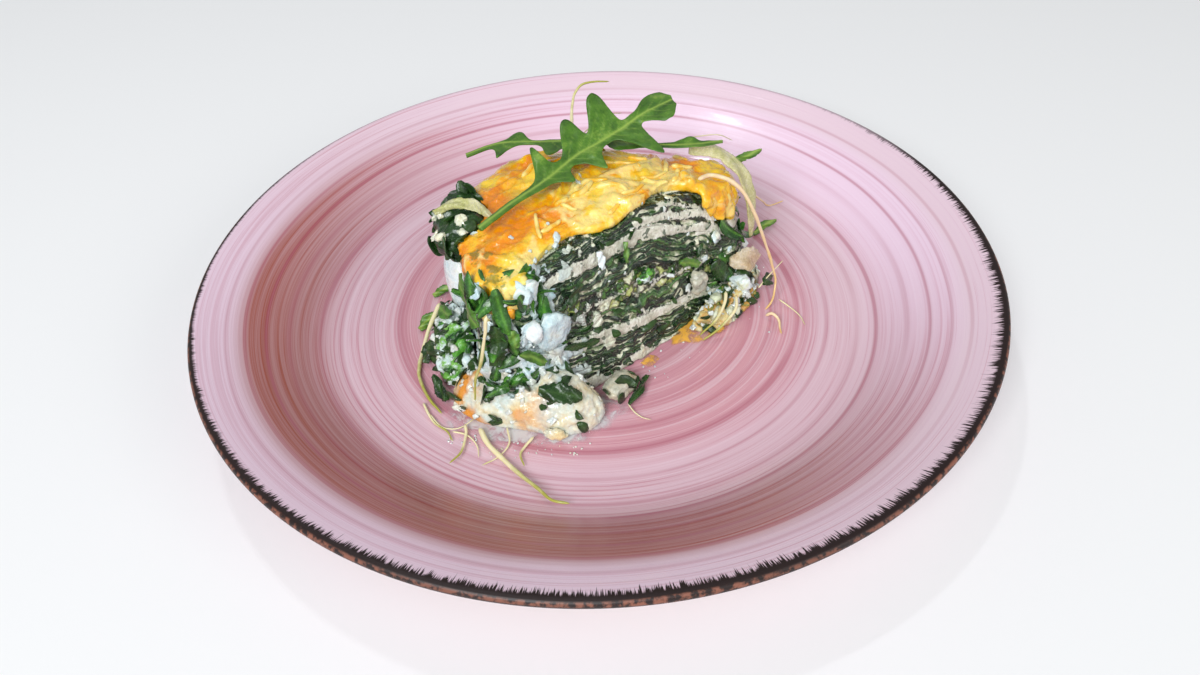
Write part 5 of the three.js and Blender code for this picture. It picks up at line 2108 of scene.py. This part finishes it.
FREE_LEAVES = (
    ("pasta_curl_right", Pasta(), ((33, 15, 58.5), (42, 16.5, 57), (50, 12, 51.5), (53.5, 8, 43),
     (54.5, 7, 34), (54.5, 8, 28)), 8, (0.75, -0.35, 0.55), 1),
    ("pasta_flap_right", Pasta(body=srgb(228, 208, 172), shade=srgb(206, 176, 126),
     grain=srgb(240, 230, 206)), ((46.5, -2, 23.5), (53, 0.5, 22.5), (58, 7, 19.5)), 8, (0.6, -0.6, 0.4),
     1.2),
    ("spinach_tip_right", DARK_LEAF, ((59, -2, 13.5), (61.5, 1.5, 12.5), (63, 5.5, 10.5)), 4.4,
     (0.5, -0.5, 0.7), 0.6),
    ("pasta_curl_left", Pasta(), ((-49.5, -13, 57.5), (-43, -13, 60.5), (-36, -15, 60.6), (-31, -21, 60.8)),
     3.6, (-0.2, -0.5, 0.8), 0.9),
    ("spinach_strip_front", DARK_LEAF, ((15, -41, 9.4), (12.5, -47, 9.6), (8.5, -53, 8.8)), 2.6,
     (0.6, -0.5, 0.6), 0.7),
    ("spinach_leaf_base", DARK_LEAF, ((-19, -58, 22.4), (-12, -59.5, 22), (-6, -59, 19.6)), 6.4,
     (0, -0.6, 0.8), 0.6),
    ("spinach_leaf_spill", DARK_LEAF, ((-54.5, -39, 12), (-52, -43.5, 10), (-49.5, -48.5, 10)), 4,
     (-0.5, -0.4, 0.8), 0.6),
    ("green_slice_left", GREEN_LEAF, ((-53, -14, 19.6), (-51.5, -19, 22), (-48.5, -24, 24.5)), 4.4,
     (-0.6, -0.3, 0.7), 0.7),
    ("leaf_tip_high", ROCKET, ((-59.5, 6, 8.2), (-56, 8, 9.2), (-52.4, 9.5, 9.8)), 3.6, (0, -0.3, 1), 0.6),
    ("leaf_tip_low", ROCKET, ((-62.5, -12, 8.2), (-60, -9.5, 9.6), (-56.4, -7, 11.6)), 4.4, (0, -0.4, 1),
     0.6),
    ("leaf_tip_dark", DARK_LEAF, ((-58.5, -29.5, 8.6), (-57.5, -26.5, 11.4), (-55.5, -24, 14.8)), 5,
     (-0.6, -0.4, 0.8), 0.7),
    ("leaf_tip_right", ROCKET, ((61.5, 34, 8.2), (66, 38, 9), (71, 41, 9.2)), 3, (0, -0.3, 1), 0.6),
    ("rocket_stem_right", ROCKET, ((49, 27, 46), (54, 30, 45), (61, 34, 45.5)), 3, (0, -0.5, 1), 0.8))


def rocket_lift(s: Array, w: Array, reach: Array) -> Array:
    """How the front leaf's lobes rise behind and droop a little in front."""
    rise = np.where(w > 0, 0.42, -0.06) * np.abs(reach) * smoothstep(s, 0.25, 0.4)
    return rise * (1 - smoothstep(s, 0.8, 0.95))


ROCKET_LEAVES = (
    Leaf("rocket_leaf_front", ROCKET,
         ((-34, -28, 61.5), (-25, -18, 62.5), (-14, -7, 63.5), (-4, 5, 64.5), (3, 10, 65.5),
          (11, 16, 67), (19, 22, 69), (28, 26, 71)),
         (0, 0, 1),
         (lobed(1.4, 2.4, ((0.36, 9.5, 0.035), (0.54, 10, 0.042), (0.68, 13.5, 0.06, 3),
                           (0.93, 5.4, 0.065, 3))),
          lobed(1.4, 2.4, ((0.4, 4.8, 0.03), (0.56, 9.4, 0.04), (0.76, 16, 0.036), (0.93, 6, 0.065, 3)))),
         rocket_lift, steps=200, across=26, sweep=(0.42, 0.06), crinkle=0.3, tear=0.03, rib=0.5),
    Leaf("rocket_leaf_back", ROCKET,
         ((-41, 14, 61), (-31, 19, 61.5), (-15, 19, 61.5), (4, 18, 61.5), (20, 14, 61.5), (33, 12, 62),
          (44, 15, 61)),
         (0, 0, 1),
         (lobed(1, 1.4, ((0.2, 5, 0.035), (0.52, 4, 0.04), (0.86, 3, 0.05))),
          lobed(1, 1.4, ((0.16, 9, 0.035), (0.36, 8, 0.04), (0.62, 4, 0.05)))),
         lambda s, w, reach: 0.1 * np.abs(reach), steps=180, across=18, sweep=(0.2, -0.3), crinkle=0.3,
         tear=0.03, rib=0.45, seed=4))

CHOPPED = ChoppedFilling()
BUTTERY = ChoppedFilling(stops=(
    (0.0, srgb(8, 34, 18)), (0.22, srgb(26, 68, 26)), (0.34, srgb(128, 138, 60)), (0.42, srgb(214, 156, 74)),
    (0.56, srgb(222, 204, 140)), (0.74, srgb(226, 232, 206)), (1.0, srgb(214, 222, 184))))
CLOUDY = SoftCheese(white=srgb(200, 196, 176), cool=srgb(160, 164, 148), cream=srgb(212, 196, 160),
                    amber_share=0.06)
SHELL = SoftCheese(cream=srgb(206, 212, 160))

LUMPS = (
    Lump("spinach_bunch_left", DARK_LEAF, Skin.CRUMPLED, 1, 1.2, 4.2),
    Lump("soft_cheese_left", WHITE, Skin.SMOOTH, 2, 0.5, 5.0),
    Lump("spilled_filling_left", CHOPPED, Skin.CHOPPED, 3, 1.1, 5.0),
    Lump("spilled_cheese_front", SPILL, Skin.CRUMBLY, 4, 0.8, 5.6),
    Lump("spilled_spinach_right", BUTTERY, Skin.CHOPPED, 5, 0.9, 4.6),
    Lump("cheese_block_front", BLOCK, Skin.BROKEN, 6, 0.4, 2.6, 0.4),
    Lump("cheese_chunk_front", WHITE, Skin.BROKEN, 7, 0.35, 2.0, 0.35),
    Lump("filling_lump_middle", CHOPPED, Skin.CHOPPED, 8, 0.5, 2.4, 0.4),
    Lump("cheese_lump_right", replace(CLOUDY, slot="pasta"), Skin.CRUMBLY, 9, 1.0, 2.4, 0.4),
    Lump("onion_piece_front", CLOUDY, Skin.BROKEN, 10, 0.8, 4.0, 0.45),
    Lump("cheese_lump_base", SPILL, Skin.CRUMBLY, 11, 0.7, 2.4, 0.4),
    Lump("shell_leaf_right", SHELL, Skin.BROKEN, 12, 0.9, 3.0, 0.4))

WARM = Stem(pale=srgb(236, 210, 168), green=srgb(226, 186, 120), green_from=0.7)
SHOOTS = (
    ("shoot_right_loop", WARM, 0.75, ((34, -3, 58.6), (38, 0, 58), (43, -2.5, 58), (48, -3, 54),
     (52.5, -3.5, 46), (57, -2, 34), (61, -1.5, 22), (63, -3, 14), (61, -8, 9.6), (58.5, -10.5, 8.4))),
    ("shoot_right_base", WARM, 0.6, ((58, -14, 8.6), (60, -14.5, 10), (62, -16, 9), (62, -20, 8.1),
     (62, -23, 8.1))),
    ("shoot_double_upper", Stem(), 0.55, ((44, -12, 19), (43.5, -15, 17), (40, -20.5, 14),
     (34, -22.5, 8.6))),
    ("shoot_double_lower", Stem(), 0.6, ((47.5, -12, 17), (47, -16.5, 15), (42, -21.5, 12),
     (35, -24.6, 8.1))),
    ("shoot_back_right", WARM, 0.5, ((52, 34, 32), (58, 40, 25), (66, 46, 15), (70, 50, 9.8),
     (76, 52, 10.4))),
    ("shoot_top_curl", Stem(), 0.65, ((-5, 23, 62), (-6, 31, 61), (-5, 42, 65), (-2, 45.5, 68),
     (3, 46.5, 68.5), (8, 48, 67.5))),
    ("shoot_left_arc", Stem(), 0.8, ((-54.4, -8, 16.5), (-57.5, -14, 12.5), (-59.8, -22, 8.6),
     (-60.2, -34, 8.2), (-56.5, -44, 8.2), (-51, -52.5, 8.2))),
    ("shoot_left_white", Stem(), 0.45, ((-57.5, -47, 7.9), (-53, -56, 7.9), (-48.5, -60, 7.9),
     (-46.5, -64, 7.9))),
    ("shoot_left_tail", Stem(), 0.5, ((-43, -58, 9), (-42.5, -62, 8.4), (-43.5, -69, 8.6),
     (-46.5, -74, 9.4))),
    ("shoot_front_long", Stem(), 0.85, ((-38.5, -60, 9), (-35.5, -66, 8.5), (-31.5, -71.5, 8.5),
     (-26, -78.5, 9.2), (-20, -85, 9.8), (-15.5, -90.5, 10.8), (-10.5, -92, 11))),
    ("shoot_front_short", Stem(), 0.5, ((-21.5, -64.5, 9), (-24, -67.5, 8.1), (-25.5, -70.5, 8.1),
     (-24, -75.5, 8.3))),
    ("shoot_front_drop", Stem(), 0.6, ((-31.5, -55.5, 51), (-33, -56, 43), (-35, -56.5, 34),
     (-37.5, -57, 27), (-38.5, -58.5, 19.5))))

AMBER = Whey("melted_cheddar", srgb(236, 176, 70), srgb(222, 168, 100), 0.95)
FILMS = (
    Film("whey_front", Whey(), ((-52, -46), (-49, -57), (-38, -64), (-20, -67), (-4, -65), (5, -58),
     (8, -50), (0, -46), (-30, -44))),
    Film("cheese_pool_right", AMBER, ((24, -25), (25, -19), (30, -12), (36, -5), (43, -6), (46, -12),
     (42, -20), (32, -25)), 1.5, 6),
    Film("cheese_drop_front", AMBER, ((13, -33), (17, -29), (20, -31), (16, -35)), 0.9, 7))


def main() -> None:
    """Builds the studio, the plate and the food."""
    logging.basicConfig(level=logging.INFO, format="%(message)s")
    layers = [Layer(node, CutFood(makeup.value), level)
              for level, (node, makeup, _) in enumerate(CUT_FACE.layers)]
    sides = [side_leaf(*row, seed=k) for k, row in enumerate(SIDE_LEAVES, start=1)]
    strips = [free_leaf(*row, seed=k) for k, row in enumerate(FREE_LEAVES, start=30)]
    shoots = [Shoot(*row, seed=k) for k, row in enumerate(SHOOTS)]
    for part in (Studio(), Plate(), *layers, MeltedTopping(), CheeseDrips(), *LUMPS, *sides, *strips,
                 *ROCKET_LEAVES, *shoots, ThinShoots(), ToppingShreds(), LooseBits(), *FILMS):
        part.build()


if __name__ == "__main__":
    main()
